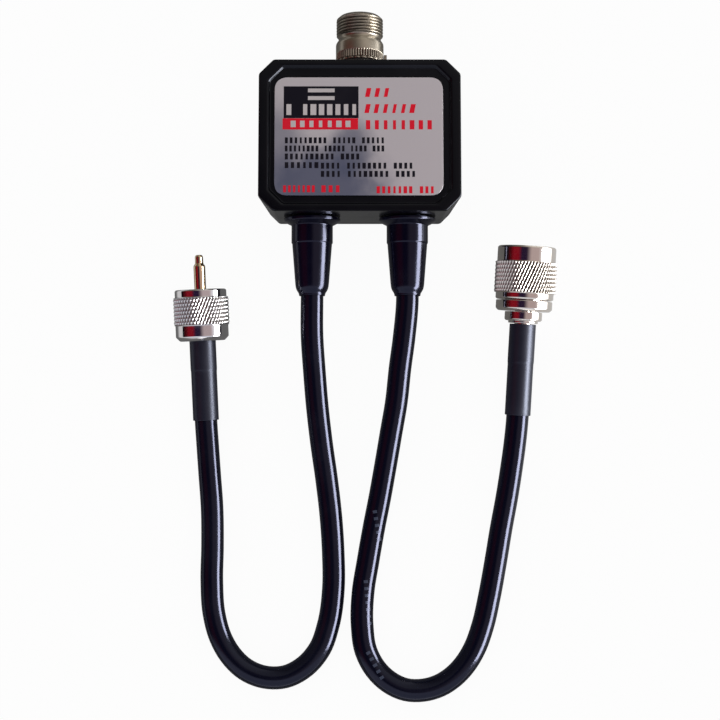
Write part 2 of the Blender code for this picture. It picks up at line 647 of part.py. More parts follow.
def socket_stack(axis):
    """Make the gasket, the lock washer and the nut that hold the socket in the wall."""
    clear = SOCKET_SHANK_RADIUS + TURN_GAP
    flat_ring(
        "socket_gasket", clear, SOCKET_GASKET_RADIUS,
        GASKET_START, GASKET_START + SOCKET_GASKET_THICKNESS, MEDIUM, "black_rubber", axis,
    )
    flat_ring(
        "socket_lock_washer", clear, SOCKET_WASHER_RADIUS,
        WASHER_START, WASHER_START + SOCKET_WASHER_THICKNESS, FINE, "nickel", axis, SOCKET_WASHER_SHIFT,
    )
    nut_top = SOCKET_BOSS_INNER - SEAT_GAP
    corner = SOCKET_NUT_FLATS / math.sqrt(3.0)
    bm = bmesh.new()
    bmesh.ops.create_cone(
        bm, cap_ends=True, segments=6, radius1=corner, radius2=corner, depth=SOCKET_NUT_LENGTH,
        matrix=Matrix.Translation((0.0, 0.0, nut_top - SOCKET_NUT_LENGTH / 2)),
    )
    nut = mesh_object("socket_nut", bm, "nickel", axis)
    bore_radius = SOCKET_SHANK_RADIUS + FIT_GAP
    bore = cylinders("socket_nut_bore", [(0.0, 0.0)], bore_radius, 0.0, nut_top + WALL, MEDIUM, axis)
    combine(nut, bore, "DIFFERENCE")


def strain_relief(name, axis):
    """Mould a strain relief: inner flange, neck, outer flange and a stepped taper."""
    inner_top = -(WALL + SEAT_GAP)
    inner_low = inner_top - BOOT_INNER_THICKNESS
    flange_low = SEAT_GAP
    flange_edge = flange_low + BOOT_FLANGE_EDGE
    tip_start = BOOT_LENGTH - BOOT_TIP_ROUND
    tip_middle = (BOOT_TIP_WALL + BOOT_TIP_FACE_WALL) / 2 + BOOT_STEP
    walls = [
        (0.0, inner_low), (BOOT_INNER_WALL, inner_low), (BOOT_INNER_WALL, inner_top),
        (BOOT_NECK_WALL, inner_top), (BOOT_NECK_WALL, flange_low),
        (BOOT_FLANGE_WALL, flange_low), (BOOT_FLANGE_WALL, flange_edge),
        (BOOT_ROOT_WALL, BOOT_SHOULDER_HEIGHT), (BOOT_ROOT_WALL, BOOT_STEP_HEIGHT),
        (BOOT_ROOT_WALL - BOOT_STEP, BOOT_STEP_HEIGHT + BOOT_STEP), (BOOT_TIP_WALL, tip_start),
        (tip_middle, BOOT_LENGTH - BOOT_TIP_ROUND / 2), (BOOT_TIP_FACE_WALL, BOOT_LENGTH),
        (0.0, BOOT_LENGTH),
    ]
    profile = [(BOOT_BORE + wall, place) for wall, place in walls]
    return turned(name, profile, MEDIUM, "black_rubber", axis)


def hermite(start, end, start_slope, end_slope, part):
    """Return a point on the cubic between two points with given slopes."""
    square = part * part
    cube = square * part
    return (
        start * (2 * cube - 3 * square + 1) + start_slope * (cube - 2 * square + part)
        + end * (3 * square - 2 * cube) + end_slope * (cube - square)
    )


def smooth_points(route, first_way, last_way, spacing):
    """Read evenly spaced points from a smooth curve through a route.

    first_way and last_way are the unit directions in which the curve starts and ends.
    """
    slopes = [first_way]
    for before, here, after in zip(route, route[1:], route[2:]):
        near = (here - before).length
        far = (after - here).length
        slopes.append(((here - before) / near * far + (after - here) / far * near) / (near + far))
    slopes.append(last_way)
    fine = [route[0]]
    for start, end, slope, next_slope in zip(route, route[1:], slopes, slopes[1:]):
        chord = (end - start).length
        count = 16
        for step in range(1, count + 1):
            fine.append(hermite(start, end, slope * chord, next_slope * chord, step / count))
    lengths = [0.0]
    for before, here in zip(fine, fine[1:]):
        lengths.append(lengths[-1] + (here - before).length)
    pieces = max(1, round(lengths[-1] / spacing))
    points = []
    index = 0
    for piece in range(pieces + 1):
        target = lengths[-1] * piece / pieces
        while index < len(fine) - 2 and lengths[index + 1] < target:
            index += 1
        share = (target - lengths[index]) / (lengths[index + 1] - lengths[index])
        points.append(fine[index].lerp(fine[index + 1], share))
    return points


def lead(name, boot_axis, plug_axis, sleeve_end, cable_end, route):
    """Lay one coax lead from inside the housing to its plug's ferrule."""
    mouth = on_axis(boot_axis, BOOT_LENGTH)
    sleeve_mouth = on_axis(plug_axis, -sleeve_end)
    boot_way = (mouth - on_axis(boot_axis, 0.0)).normalized()
    plug_way = (on_axis(plug_axis, 0.0) - sleeve_mouth).normalized()
    hand_points = [Vector(point) * MM for point in route]
    free = smooth_points([mouth, *hand_points, sleeve_mouth], boot_way, plug_way, CABLE_POINT_SPACING)
    points = [on_axis(boot_axis, -CABLE_INNER_LENGTH), *free, on_axis(plug_axis, -cable_end)]
    return wire(name, points, CABLE_RADIUS, "black_jacket", CABLE_SIDES_LEVEL)


def shrink_sleeve(name, axis, start, ferrule_end, end):
    """Turn the shrunk tube that covers the ferrule and the start of the cable."""
    wide = FERRULE_RADIUS + FIT_GAP
    narrow = CABLE_RADIUS + FIT_GAP
    blend = ferrule_end + 2 * (wide - narrow) + SEAT_GAP
    profile = [
        (wide, -start), (wide + SLEEVE_WALL, -start), (wide + SLEEVE_WALL, -ferrule_end),
        (narrow + SLEEVE_WALL, -blend), (narrow + SLEEVE_WALL, -end), (narrow, -end),
        (narrow, -blend), (wide, -ferrule_end),
    ]
    return turned(name, profile, MEDIUM, "black_rubber", axis)


def ferrule(name, axis, start, length):
    """Turn a crimp ferrule behind a plug's body."""
    inner = FERRULE_RADIUS - FERRULE_WALL
    return flat_ring(name, inner, FERRULE_RADIUS, -(start + length), -start, MEDIUM, "nickel", axis)


def uhf_coupling_ring(axis):
    """Turn the UHF plug's coupling ring with its knurled band left plain."""
    edge = UHF_RING_EDGE
    bore = UHF_RING_BORE
    web_bore = UHF_BODY_NECK_RADIUS + TURN_GAP
    profile = [
        (UHF_RING_REAR_FACE, 0.0), (UHF_RING_REAR_RADIUS, UHF_RING_REAR_CHAMFER),
        (UHF_RING_REAR_RADIUS, UHF_RING_KNURL_START - edge / 2),
        (UHF_RING_KNURL_RADIUS, UHF_RING_KNURL_START), (UHF_RING_KNURL_RADIUS, UHF_RING_KNURL_END),
        (UHF_RING_FRONT_RADIUS, UHF_RING_KNURL_END + edge / 2),
        (UHF_RING_FRONT_RADIUS, UHF_RING_LENGTH - edge),
        (UHF_RING_FRONT_RADIUS - edge, UHF_RING_LENGTH), (bore, UHF_RING_LENGTH),
        (bore, UHF_RING_WEB), (web_bore, UHF_RING_WEB), (web_bore, 0.0),
    ]
    return turned("uhf_coupling_ring", profile, FINE, "nickel", axis)


def uhf_plug(axis):
    """Build the UHF plug's body, insulator and pin inside its ring."""
    shoulder = UHF_RING_WEB + SEAT_GAP
    shoulder_end = shoulder + UHF_BODY_SHOULDER
    spigot_end = -(FERRULE_LENGTH_UHF - SPIGOT_SHORTFALL)
    bore_floor = UHF_BODY_REAR + UHF_BODY_BACK_WALL
    profile = [
        (SPIGOT_RADIUS, spigot_end), (SPIGOT_RADIUS, UHF_BODY_REAR), (UHF_BODY_NECK_RADIUS, UHF_BODY_REAR),
        (UHF_BODY_NECK_RADIUS, shoulder), (UHF_BODY_SHOULDER_RADIUS, shoulder),
        (UHF_BODY_SHOULDER_RADIUS, shoulder_end), (UHF_BODY_BARREL_RADIUS, shoulder_end),
        (UHF_BODY_BARREL_RADIUS, UHF_BODY_BARREL_END), (UHF_BODY_BORE, UHF_BODY_BARREL_END),
        (UHF_BODY_BORE, bore_floor), (SPIGOT_BORE, bore_floor), (SPIGOT_BORE, spigot_end),
    ]
    body = turned("uhf_body", profile, MEDIUM, "nickel", axis)
    notch_reach = UHF_BODY_SHOULDER_RADIUS
    notch_half = UHF_BODY_NOTCH_WIDTH / 2
    for index in range(UHF_BODY_NOTCHES // 2):
        notch = box(
            f"uhf_notch_{index}",
            (-notch_reach, -notch_half, UHF_BODY_BARREL_END - UHF_BODY_NOTCH_DEPTH),
            (notch_reach, notch_half, UHF_BODY_BARREL_END + UHF_BODY_NOTCH_DEPTH),
            "nickel", axis, turn=math.pi * (index / 2 + 0.25),
        )
        combine(body, notch, "DIFFERENCE")
    insulator_low = bore_floor + SEAT_GAP
    insulator_high = UHF_BODY_BARREL_END - UHF_BODY_NOTCH_DEPTH - SEAT_GAP
    flat_ring(
        "uhf_insulator", UHF_PIN_RADIUS + FIT_GAP, UHF_BODY_BORE - FIT_GAP, insulator_low, insulator_high,
        MEDIUM, "white_insulator", axis,
    )
    tip = UHF_RING_LENGTH + UHF_PIN_REACH
    tip_start = tip - UHF_PIN_TIP_LENGTH
    pin_profile = [
        (0.0, insulator_low), (UHF_PIN_RADIUS, insulator_low), (UHF_PIN_RADIUS, tip_start),
        (UHF_PIN_TIP_RADIUS, tip_start + UHF_PIN_TIP_TAPER), (UHF_PIN_TIP_RADIUS, tip - UHF_PIN_TIP_TAPER),
        (UHF_PIN_TIP_RADIUS - FIT_GAP, tip - UHF_PIN_TIP_TAPER / 3),
        (UHF_PIN_TIP_RADIUS / 2, tip), (0.0, tip),
    ]
    turned("uhf_pin", pin_profile, COARSE, "gold", axis)


def n_coupling_nut(axis):
    """Turn the N plug's coupling nut with its knurled band left plain."""
    edge = N_NUT_EDGE
    web_bore = N_BODY_NECK_RADIUS + TURN_GAP
    web_end = N_NUT_START + N_NUT_WEB
    profile = [
        (N_NUT_REAR_RADIUS - edge, N_NUT_START), (N_NUT_REAR_RADIUS, N_NUT_START + edge),
        (N_NUT_REAR_RADIUS, N_NUT_KNURL_START - edge / 2), (N_NUT_KNURL_RADIUS, N_NUT_KNURL_START),
        (N_NUT_KNURL_RADIUS, N_NUT_KNURL_END), (N_NUT_FRONT_RADIUS, N_NUT_KNURL_END + edge / 2),
        (N_NUT_FRONT_RADIUS, N_LENGTH - edge), (N_NUT_FRONT_RADIUS - edge, N_LENGTH),
        (N_NUT_MOUTH, N_LENGTH), (N_NUT_BORE, N_LENGTH - edge), (N_NUT_BORE, web_end),
        (web_bore, web_end), (web_bore, N_NUT_START),
    ]
    return turned("n_coupling_nut", profile, FINE, "nickel", axis)


def n_plug(axis):
    """Build the N plug's body, snap ring, gasket, insulator, pin and clamp nut."""
    groove_low = N_NUT_START + N_NUT_WEB + SEAT_GAP
    groove_high = groove_low + N_SNAP_RING_THICKNESS + FIT_GAP
    spigot_end = -(N_CLAMP_LENGTH + N_CLAMP_STEP + FERRULE_LENGTH_N - SPIGOT_SHORTFALL)
    flange_end = N_NUT_START - SEAT_GAP
    profile = [
        (SPIGOT_RADIUS, spigot_end), (SPIGOT_RADIUS, 0.0),
        (N_BODY_FLANGE_RADIUS - N_BODY_FLANGE_CHAMFER, 0.0),
        (N_BODY_FLANGE_RADIUS, N_BODY_FLANGE_CHAMFER), (N_BODY_FLANGE_RADIUS, flange_end),
        (N_BODY_NECK_RADIUS, flange_end), (N_BODY_NECK_RADIUS, groove_low),
        (N_BODY_GROOVE_RADIUS, groove_low),
        (N_BODY_GROOVE_RADIUS, groove_high), (N_BODY_NECK_RADIUS, groove_high),
        (N_BODY_NECK_RADIUS, N_BODY_NECK_END), (N_BODY_CONTACT_RADIUS, N_BODY_NECK_END),
        (N_BODY_CONTACT_RADIUS, N_BODY_CONTACT_END), (N_BODY_CONTACT_BORE, N_BODY_CONTACT_END),
        (N_BODY_CONTACT_BORE, N_BODY_BACK_WALL), (SPIGOT_BORE, N_BODY_BACK_WALL), (SPIGOT_BORE, spigot_end),
    ]
    turned("n_body", profile, MEDIUM, "nickel", axis)
    ring_low = groove_low + FIT_GAP / 2
    flat_ring(
        "n_snap_ring", N_BODY_GROOVE_RADIUS + FIT_GAP, N_SNAP_RING_RADIUS, ring_low,
        ring_low + N_SNAP_RING_THICKNESS, MEDIUM, "steel_screw", axis,
    )
    gasket_low = N_BODY_NECK_END + SEAT_GAP
    flat_ring(
        "n_gasket", N_BODY_CONTACT_RADIUS + FIT_GAP, N_GASKET_RADIUS, gasket_low,
        gasket_low + N_GASKET_THICKNESS, MEDIUM, "red_seal", axis,
    )
    insulator_low = N_BODY_BACK_WALL + SEAT_GAP
    insulator_high = insulator_low + N_INSULATOR_LENGTH
    flat_ring(
        "n_insulator", N_PIN_ROOT_RADIUS + FIT_GAP, N_BODY_CONTACT_BORE - FIT_GAP, insulator_low,
        insulator_high, MEDIUM, "white_insulator", axis,
    )
    pin_profile = [
        (0.0, insulator_low), (N_PIN_ROOT_RADIUS, insulator_low),
        (N_PIN_ROOT_RADIUS, insulator_high + SEAT_GAP),
        (N_PIN_RADIUS, insulator_high + SEAT_GAP + FIT_GAP), (N_PIN_RADIUS, N_PIN_END - N_PIN_RADIUS),
        (N_PIN_RADIUS / 2, N_PIN_END), (0.0, N_PIN_END),
    ]
    turned("n_pin", pin_profile, COARSE, "gold", axis)
    clamp_bore = SPIGOT_RADIUS + TURN_GAP
    step_start = -(SEAT_GAP + N_CLAMP_LENGTH)
    step_end = step_start - N_CLAMP_STEP
    edge = N_NUT_EDGE
    clamp_profile = [
        (clamp_bore, step_end), (N_CLAMP_STEP_RADIUS, step_end), (N_CLAMP_STEP_RADIUS, step_start),
        (N_CLAMP_RADIUS - edge, step_start), (N_CLAMP_RADIUS, step_start + edge),
        (N_CLAMP_RADIUS, -SEAT_GAP), (clamp_bore, -SEAT_GAP),
    ]
    turned("n_clamp_nut", clamp_profile, FINE, "nickel", axis)
    return -step_end


def circuit_board():
    """Cut the board's outline and its two screw holes."""
    boss_x = HOUSING_WIDTH / 2 - SCREW_FROM_SIDE
    boss_y = HOUSING_LENGTH / 2 - SCREW_FROM_END
    clear = math.sqrt(2.0) * (SCREW_BOSS_RADIUS + BOARD_BOSS_GAP)
    corner_cut = BOARD_HALF_WIDTH - boss_x + BOARD_HALF_LENGTH - boss_y + clear
    outlines = [
        octagon(BOARD_HALF_WIDTH, BOARD_HALF_LENGTH, corner_cut, height)
        for height in (BOARD_HEIGHT, BOARD_TOP)
    ]
    board = skinned("circuit_board", outlines, "green_board")
    holes = cylinders(
        "board_holes", board_post_places(), BOARD_SCREW_RADIUS + TURN_GAP,
        BOARD_HEIGHT - WALL, BOARD_TOP + WALL, COARSE,
    )
    combine(board, holes, "DIFFERENCE")
    head_face = BOARD_HEIGHT - SEAT_GAP
    for index, (x, y) in enumerate(board_post_places(), start=1):
        axis = axis_empty(f"board_screw_axis_{index}", (x, y, 0.0), 0.0)
        head_low = head_face - BOARD_SCREW_HEAD_HEIGHT
        profile = [
            (0.0, head_low), (BOARD_SCREW_HEAD_RADIUS - FIT_GAP, head_low),
            (BOARD_SCREW_HEAD_RADIUS, head_low + FIT_GAP), (BOARD_SCREW_HEAD_RADIUS, head_face),
            (BOARD_SCREW_RADIUS, head_face), (BOARD_SCREW_RADIUS, BOARD_TOP + BOARD_SCREW_REACH),
            (0.0, BOARD_TOP + BOARD_SCREW_REACH + SEAT_GAP),
        ]
        turned(f"board_screw_{index}", profile, COARSE, "steel_screw", axis)


def air_coil(name, centre_x, centre_y):
    """Wind an air-cored coil along X, with its two legs down to the board."""
    leg_foot = BOARD_TOP + SEAT_GAP
    height = leg_foot + COIL_LIFT + COIL_RADIUS + COIL_WIRE_RADIUS
    length = COIL_PITCH * COIL_TURNS
    steps = COIL_STEPS_PER_TURN * COIL_TURNS
    points = [Vector((centre_x - length / 2, centre_y - COIL_RADIUS, leg_foot))]
    for step in range(steps + 1):
        angle = math.tau * step / COIL_STEPS_PER_TURN
        points.append(Vector((
            centre_x + length * (step / steps - 0.5),
            centre_y - COIL_RADIUS * math.cos(angle),
            height + COIL_RADIUS * math.sin(angle),
        )))
    points.append(Vector((centre_x + length / 2, centre_y - COIL_RADIUS, leg_foot)))
    return wire(name, points, COIL_WIRE_RADIUS, "copper_wire")


def disc_capacitor(name, x, y):
    """Make a ceramic disc capacitor on edge, with its two legs down to the board."""
    foot = BOARD_TOP + SEAT_GAP
    centre_height = foot + CAPACITOR_LIFT + CAPACITOR_RADIUS
    axis = axis_empty(f"{name}_axis", (x, y, centre_height), math.pi / 2, math.pi / 2)
    half = CAPACITOR_THICKNESS / 2
    soft = CAPACITOR_THICKNESS / 4
    profile = [
        (0.0, -half), (CAPACITOR_RADIUS - soft, -half), (CAPACITOR_RADIUS, -soft),
        (CAPACITOR_RADIUS, soft), (CAPACITOR_RADIUS - soft, half), (0.0, half),
    ]
    disc = turned(name, profile, COARSE, "ceramic", axis)
    legs = cylinders(
        f"{name}_legs", [(x, y - CAPACITOR_LEG_SPREAD / 2), (x, y + CAPACITOR_LEG_SPREAD / 2)],
        CAPACITOR_LEG_RADIUS, foot, centre_height, 8,
    )
    combine(disc, legs, "UNION")
    return disc


def cable_clamp(name, boot_axis):
    """Form the earthed clamp round a coax end, with its foot on the board."""
    centre = on_axis(boot_axis, -CLAMP_DEPTH)
    axis = axis_empty(f"{name}_axis", centre, math.pi / 2)
    inner = CABLE_RADIUS + 2 * FIT_GAP
    half = CLAMP_WIDTH / 2
    ring = flat_ring(name, inner, inner + CLAMP_WALL, -half, half, MEDIUM, "tin_plate", axis)
    leg_half = CLAMP_WIDTH / 2
    leg = box(
        f"{name}_leg",
        (centre.x - leg_half, centre.y - CLAMP_WALL, BOARD_TOP + SEAT_GAP),
        (centre.x + leg_half, centre.y + CLAMP_WALL, centre.z - inner - CLAMP_WALL / 3),
        "tin_plate",
    )
    combine(ring, leg, "UNION")
    return ring


def coax_core(name, boot_axis):
    """Bend the bare centre conductor from the coax end down to the board."""
    end = on_axis(boot_axis, -(CABLE_INNER_LENGTH + SEAT_GAP))
    out = Vector((end.x, end.y + CORE_BEND / 2, end.z))
    knee = Vector((end.x, end.y + CORE_BEND - CORE_RADIUS / 3, end.z - CORE_BEND / 2))
    foot = Vector((end.x, end.y + CORE_BEND, BOARD_TOP + SEAT_GAP))
    return wire(name, [end, out, knee, foot], CORE_RADIUS, "copper_wire")


def filters(boot_axes):
    """Lay out the shield, the coils, the capacitors and the links on the board."""
    foot = BOARD_TOP + SEAT_GAP
    cup_end = Vector((0.0, SOCKET_CUP_END - SEAT_GAP, AXIS_HEIGHT))
    bend = Vector((0.0, cup_end.y - LINK_BEND / 2, AXIS_HEIGHT - CORE_RADIUS / 2))
    knee = Vector((0.0, cup_end.y - LINK_BEND + CORE_RADIUS / 3, AXIS_HEIGHT - LINK_BEND / 2))
    link_foot = Vector((0.0, cup_end.y - LINK_BEND, foot))
    wire("antenna_link", [cup_end, bend, knee, link_foot], CORE_RADIUS, "copper_wire")
    box(
        "shield_partition",
        (-PARTITION_THICKNESS / 2, PARTITION_EDGE - BOARD_HALF_LENGTH, foot),
        (PARTITION_THICKNESS / 2, link_foot.y - CORE_RADIUS - PARTITION_GAP, CEILING - SEAT_GAP),
        "tin_plate",
    )
    coil_half = COIL_RADIUS + COIL_WIRE_RADIUS
    core_foot_y = on_axis(boot_axes[0], -(CABLE_INNER_LENGTH + SEAT_GAP)).y + CORE_BEND
    rear_row = core_foot_y + CORE_RADIUS + ROW_GAP + coil_half
    front_row = rear_row + 2 * coil_half + ROW_GAP
    coil_x = (CAPACITOR_PLACE_X + CAPACITOR_THICKNESS / 2 + BOARD_POST_X - BOARD_POST_RADIUS) / 2
    air_coil("low_pass_coil_1", -coil_x, front_row)
    air_coil("low_pass_coil_2", -coil_x, rear_row)
    air_coil("high_pass_coil", coil_x, (front_row + rear_row) / 2)
    front_disc = SOCKET_SHANK_END - ROW_GAP - CAPACITOR_RADIUS
    rear_disc = front_disc - 2 * (CAPACITOR_RADIUS + ROW_GAP)
    disc_capacitor("low_pass_capacitor_1", -CAPACITOR_PLACE_X, front_disc)
    disc_capacitor("low_pass_capacitor_2", -CAPACITOR_PLACE_X, rear_disc)
    disc_capacitor("high_pass_capacitor_1", CAPACITOR_PLACE_X, front_disc)
    disc_capacitor("high_pass_capacitor_2", CAPACITOR_PLACE_X, rear_disc)
    for band, boot_axis in zip(("low_band", "high_band"), boot_axes):
        cable_clamp(f"{band}_clamp", boot_axis)
        coax_core(f"{band}_core", boot_axis)


def resting_height(pitch, edges):
    """Return the height of a pitched plug's axis at its start, with its lowest edge on the bench.

    The edges are (radius, place) points of the plug's turned outline.
    """
    lowest = max(radius * math.cos(pitch) - place * math.sin(pitch) for radius, place in edges)
    return lowest + FLOOR_GAP


def build():
    """Build every piece of the duplexer."""
    clear_scene()
    quarter = math.pi / 2
    socket_axis = axis_empty("socket_axis", (0.0, 0.0, AXIS_HEIGHT), -quarter)
    boot_axes = [
        axis_empty(f"{band}_boot_axis", (x, -WALL_AT_AXIS, AXIS_HEIGHT), quarter + DRAFT_ANGLE)
        for band, x in (("low_band", -BOOT_PLACE_X), ("high_band", BOOT_PLACE_X))
    ]
    uhf_edges = [(UHF_RING_REAR_RADIUS, UHF_RING_REAR_CHAMFER), (UHF_RING_KNURL_RADIUS, UHF_RING_KNURL_START)]
    uhf_height = resting_height(UHF_PITCH, uhf_edges)
    uhf_axis = axis_empty("uhf_axis", (*UHF_PLACE, uhf_height), UHF_PITCH - quarter, UHF_HEADING)
    n_edges = [(N_BODY_FLANGE_RADIUS, N_BODY_FLANGE_CHAMFER), (N_NUT_KNURL_RADIUS, N_NUT_KNURL_START)]
    n_height = resting_height(N_PITCH, n_edges)
    n_axis = axis_empty("n_axis", (*N_PLACE, n_height), N_PITCH - quarter, N_HEADING)

    front_cover(socket_axis, boot_axes)
    rear_cover()
    cover_screws()
    label_plate()
    socket_body(socket_axis)
    socket_insulator(socket_axis)
    socket_contact(socket_axis)
    socket_stack(socket_axis)
    circuit_board()
    filters(boot_axes)
    strain_relief("low_band_boot", boot_axes[0])
    strain_relief("high_band_boot", boot_axes[1])

    uhf_plug(uhf_axis)
    uhf_coupling_ring(uhf_axis)
    uhf_ferrule_start = -UHF_BODY_REAR + SEAT_GAP
    uhf_ferrule_end = uhf_ferrule_start + FERRULE_LENGTH_UHF
    ferrule("uhf_ferrule", uhf_axis, uhf_ferrule_start, FERRULE_LENGTH_UHF)
    shrink_sleeve("low_band_sleeve", uhf_axis, uhf_ferrule_start, uhf_ferrule_end, UHF_SLEEVE_END)
    lead("low_band_cable", boot_axes[0], uhf_axis, UHF_SLEEVE_END, uhf_ferrule_end + SEAT_GAP, LOW_BAND_ROUTE)

    clamp_end = n_plug(n_axis)
    n_coupling_nut(n_axis)
    n_ferrule_start = clamp_end + SEAT_GAP
    n_ferrule_end = n_ferrule_start + FERRULE_LENGTH_N
    ferrule("n_ferrule", n_axis, n_ferrule_start, FERRULE_LENGTH_N)
    shrink_sleeve("high_band_sleeve", n_axis, n_ferrule_start, n_ferrule_end, N_SLEEVE_END)
    lead("high_band_cable", boot_axes[1], n_axis, N_SLEEVE_END, n_ferrule_end + SEAT_GAP, HIGH_BAND_ROUTE)


build()
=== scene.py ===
"""Visual model of an rf duplexer: a moulded box with an N socket and two coax leads.

One lead ends in a UHF plug and the other in an N plug. The box lies on its back, with its
label up and its socket along +Y. Shapes are drawn in millimetres in each part's own space,
and become metres when a piece is put in its place.
"""

import logging
import math
from collections.abc import Mapping, Sequence
from dataclasses import dataclass
from enum import Enum
from functools import cache

import bmesh
import bpy
from mathutils import Matrix, Vector

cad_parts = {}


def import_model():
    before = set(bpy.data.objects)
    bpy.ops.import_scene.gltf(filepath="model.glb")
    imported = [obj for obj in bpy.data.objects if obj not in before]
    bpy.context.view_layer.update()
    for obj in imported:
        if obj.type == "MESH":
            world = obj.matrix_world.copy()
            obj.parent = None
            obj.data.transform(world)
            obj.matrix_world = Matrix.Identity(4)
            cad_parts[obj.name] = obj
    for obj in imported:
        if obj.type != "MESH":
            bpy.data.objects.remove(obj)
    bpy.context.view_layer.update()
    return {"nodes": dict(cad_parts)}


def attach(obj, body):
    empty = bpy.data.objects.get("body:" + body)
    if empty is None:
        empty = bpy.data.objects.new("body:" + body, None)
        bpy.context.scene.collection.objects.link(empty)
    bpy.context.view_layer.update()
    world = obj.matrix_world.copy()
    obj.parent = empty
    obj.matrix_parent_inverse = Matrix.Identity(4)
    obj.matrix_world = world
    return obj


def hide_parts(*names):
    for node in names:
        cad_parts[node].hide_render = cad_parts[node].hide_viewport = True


log = logging.getLogger("duplexer")

MM = 0.001

# The largest share of a side that the round at one of its ends takes.
ROUND_LIMIT = 0.45
# The pitch of 24 turns to the inch, which the socket and both plugs share, in mm.
THREAD_PITCH = 1.058
# How far the strain reliefs and the sleeves reach along their own axes, in mm.
BOOT_LENGTH = 26.4
LOW_SLEEVE_END = 26.8
HIGH_SLEEVE_END = 35.2

Corner = tuple[float, ...]
Colour = tuple[float, float, float]
Socket = bpy.types.NodeSocket
Value = float | Socket
Shade = Sequence[float] | Socket
Inputs = Mapping[str | int, object]
Group = tuple[bpy.types.NodeTree, "Sketch", Mapping[str, Socket]]


class Body(Enum):
    """The bodies that move on their own."""

    DUPLEXER = "duplexer"
    UHF_RING = "uhf_coupling_ring"
    N_NUT = "n_coupling_nut"


class Slot(Enum):
    """Names of material slots, one for each finish."""

    PLASTIC = "black_plastic"
    RUBBER = "black_rubber"
    JACKET = "black_jacket"
    LABEL = "silver_label"
    NICKEL = "nickel"
    GOLD = "gold"
    INSULATOR = "white_insulator"
    SCREW = "steel_screw"
    BOARD = "green_board"
    TIN = "tin_plate"
    COPPER = "copper_wire"
    CERAMIC = "ceramic"
    SEAL = "red_seal"


class Cut(Enum):
    """What a tool's shape does to a piece."""

    AWAY = "DIFFERENCE"
    JOIN = "UNION"


class Side(Enum):
    """The side of the box that a lead leaves it at."""

    LEFT = -1
    RIGHT = 1


class Way(Enum):
    """A direction on the floor."""

    ACROSS = 0
    ALONG = 1


@dataclass(frozen=True)
class Place:
    """Where a part's own axis starts, in mm, and how it leans and points, in degrees."""

    start: tuple[float, float, float] = (0.0, 0.0, 0.0)
    tilt: float = 0.0
    heading: float = 0.0

    def matrix(self) -> Matrix:
        """Find the turn and move out of the part's own space.

        Returns:
            The matrix, in mm.
        """
        heading = Matrix.Rotation(math.radians(self.heading), 4, "Z")
        tilt = Matrix.Rotation(math.radians(self.tilt), 4, "X")
        return Matrix.Translation(self.start) @ heading @ tilt

    def at(self, distance: float) -> Vector:
        """Return the point at a distance along the axis, in mm."""
        return self.matrix() @ Vector((0.0, 0.0, distance))


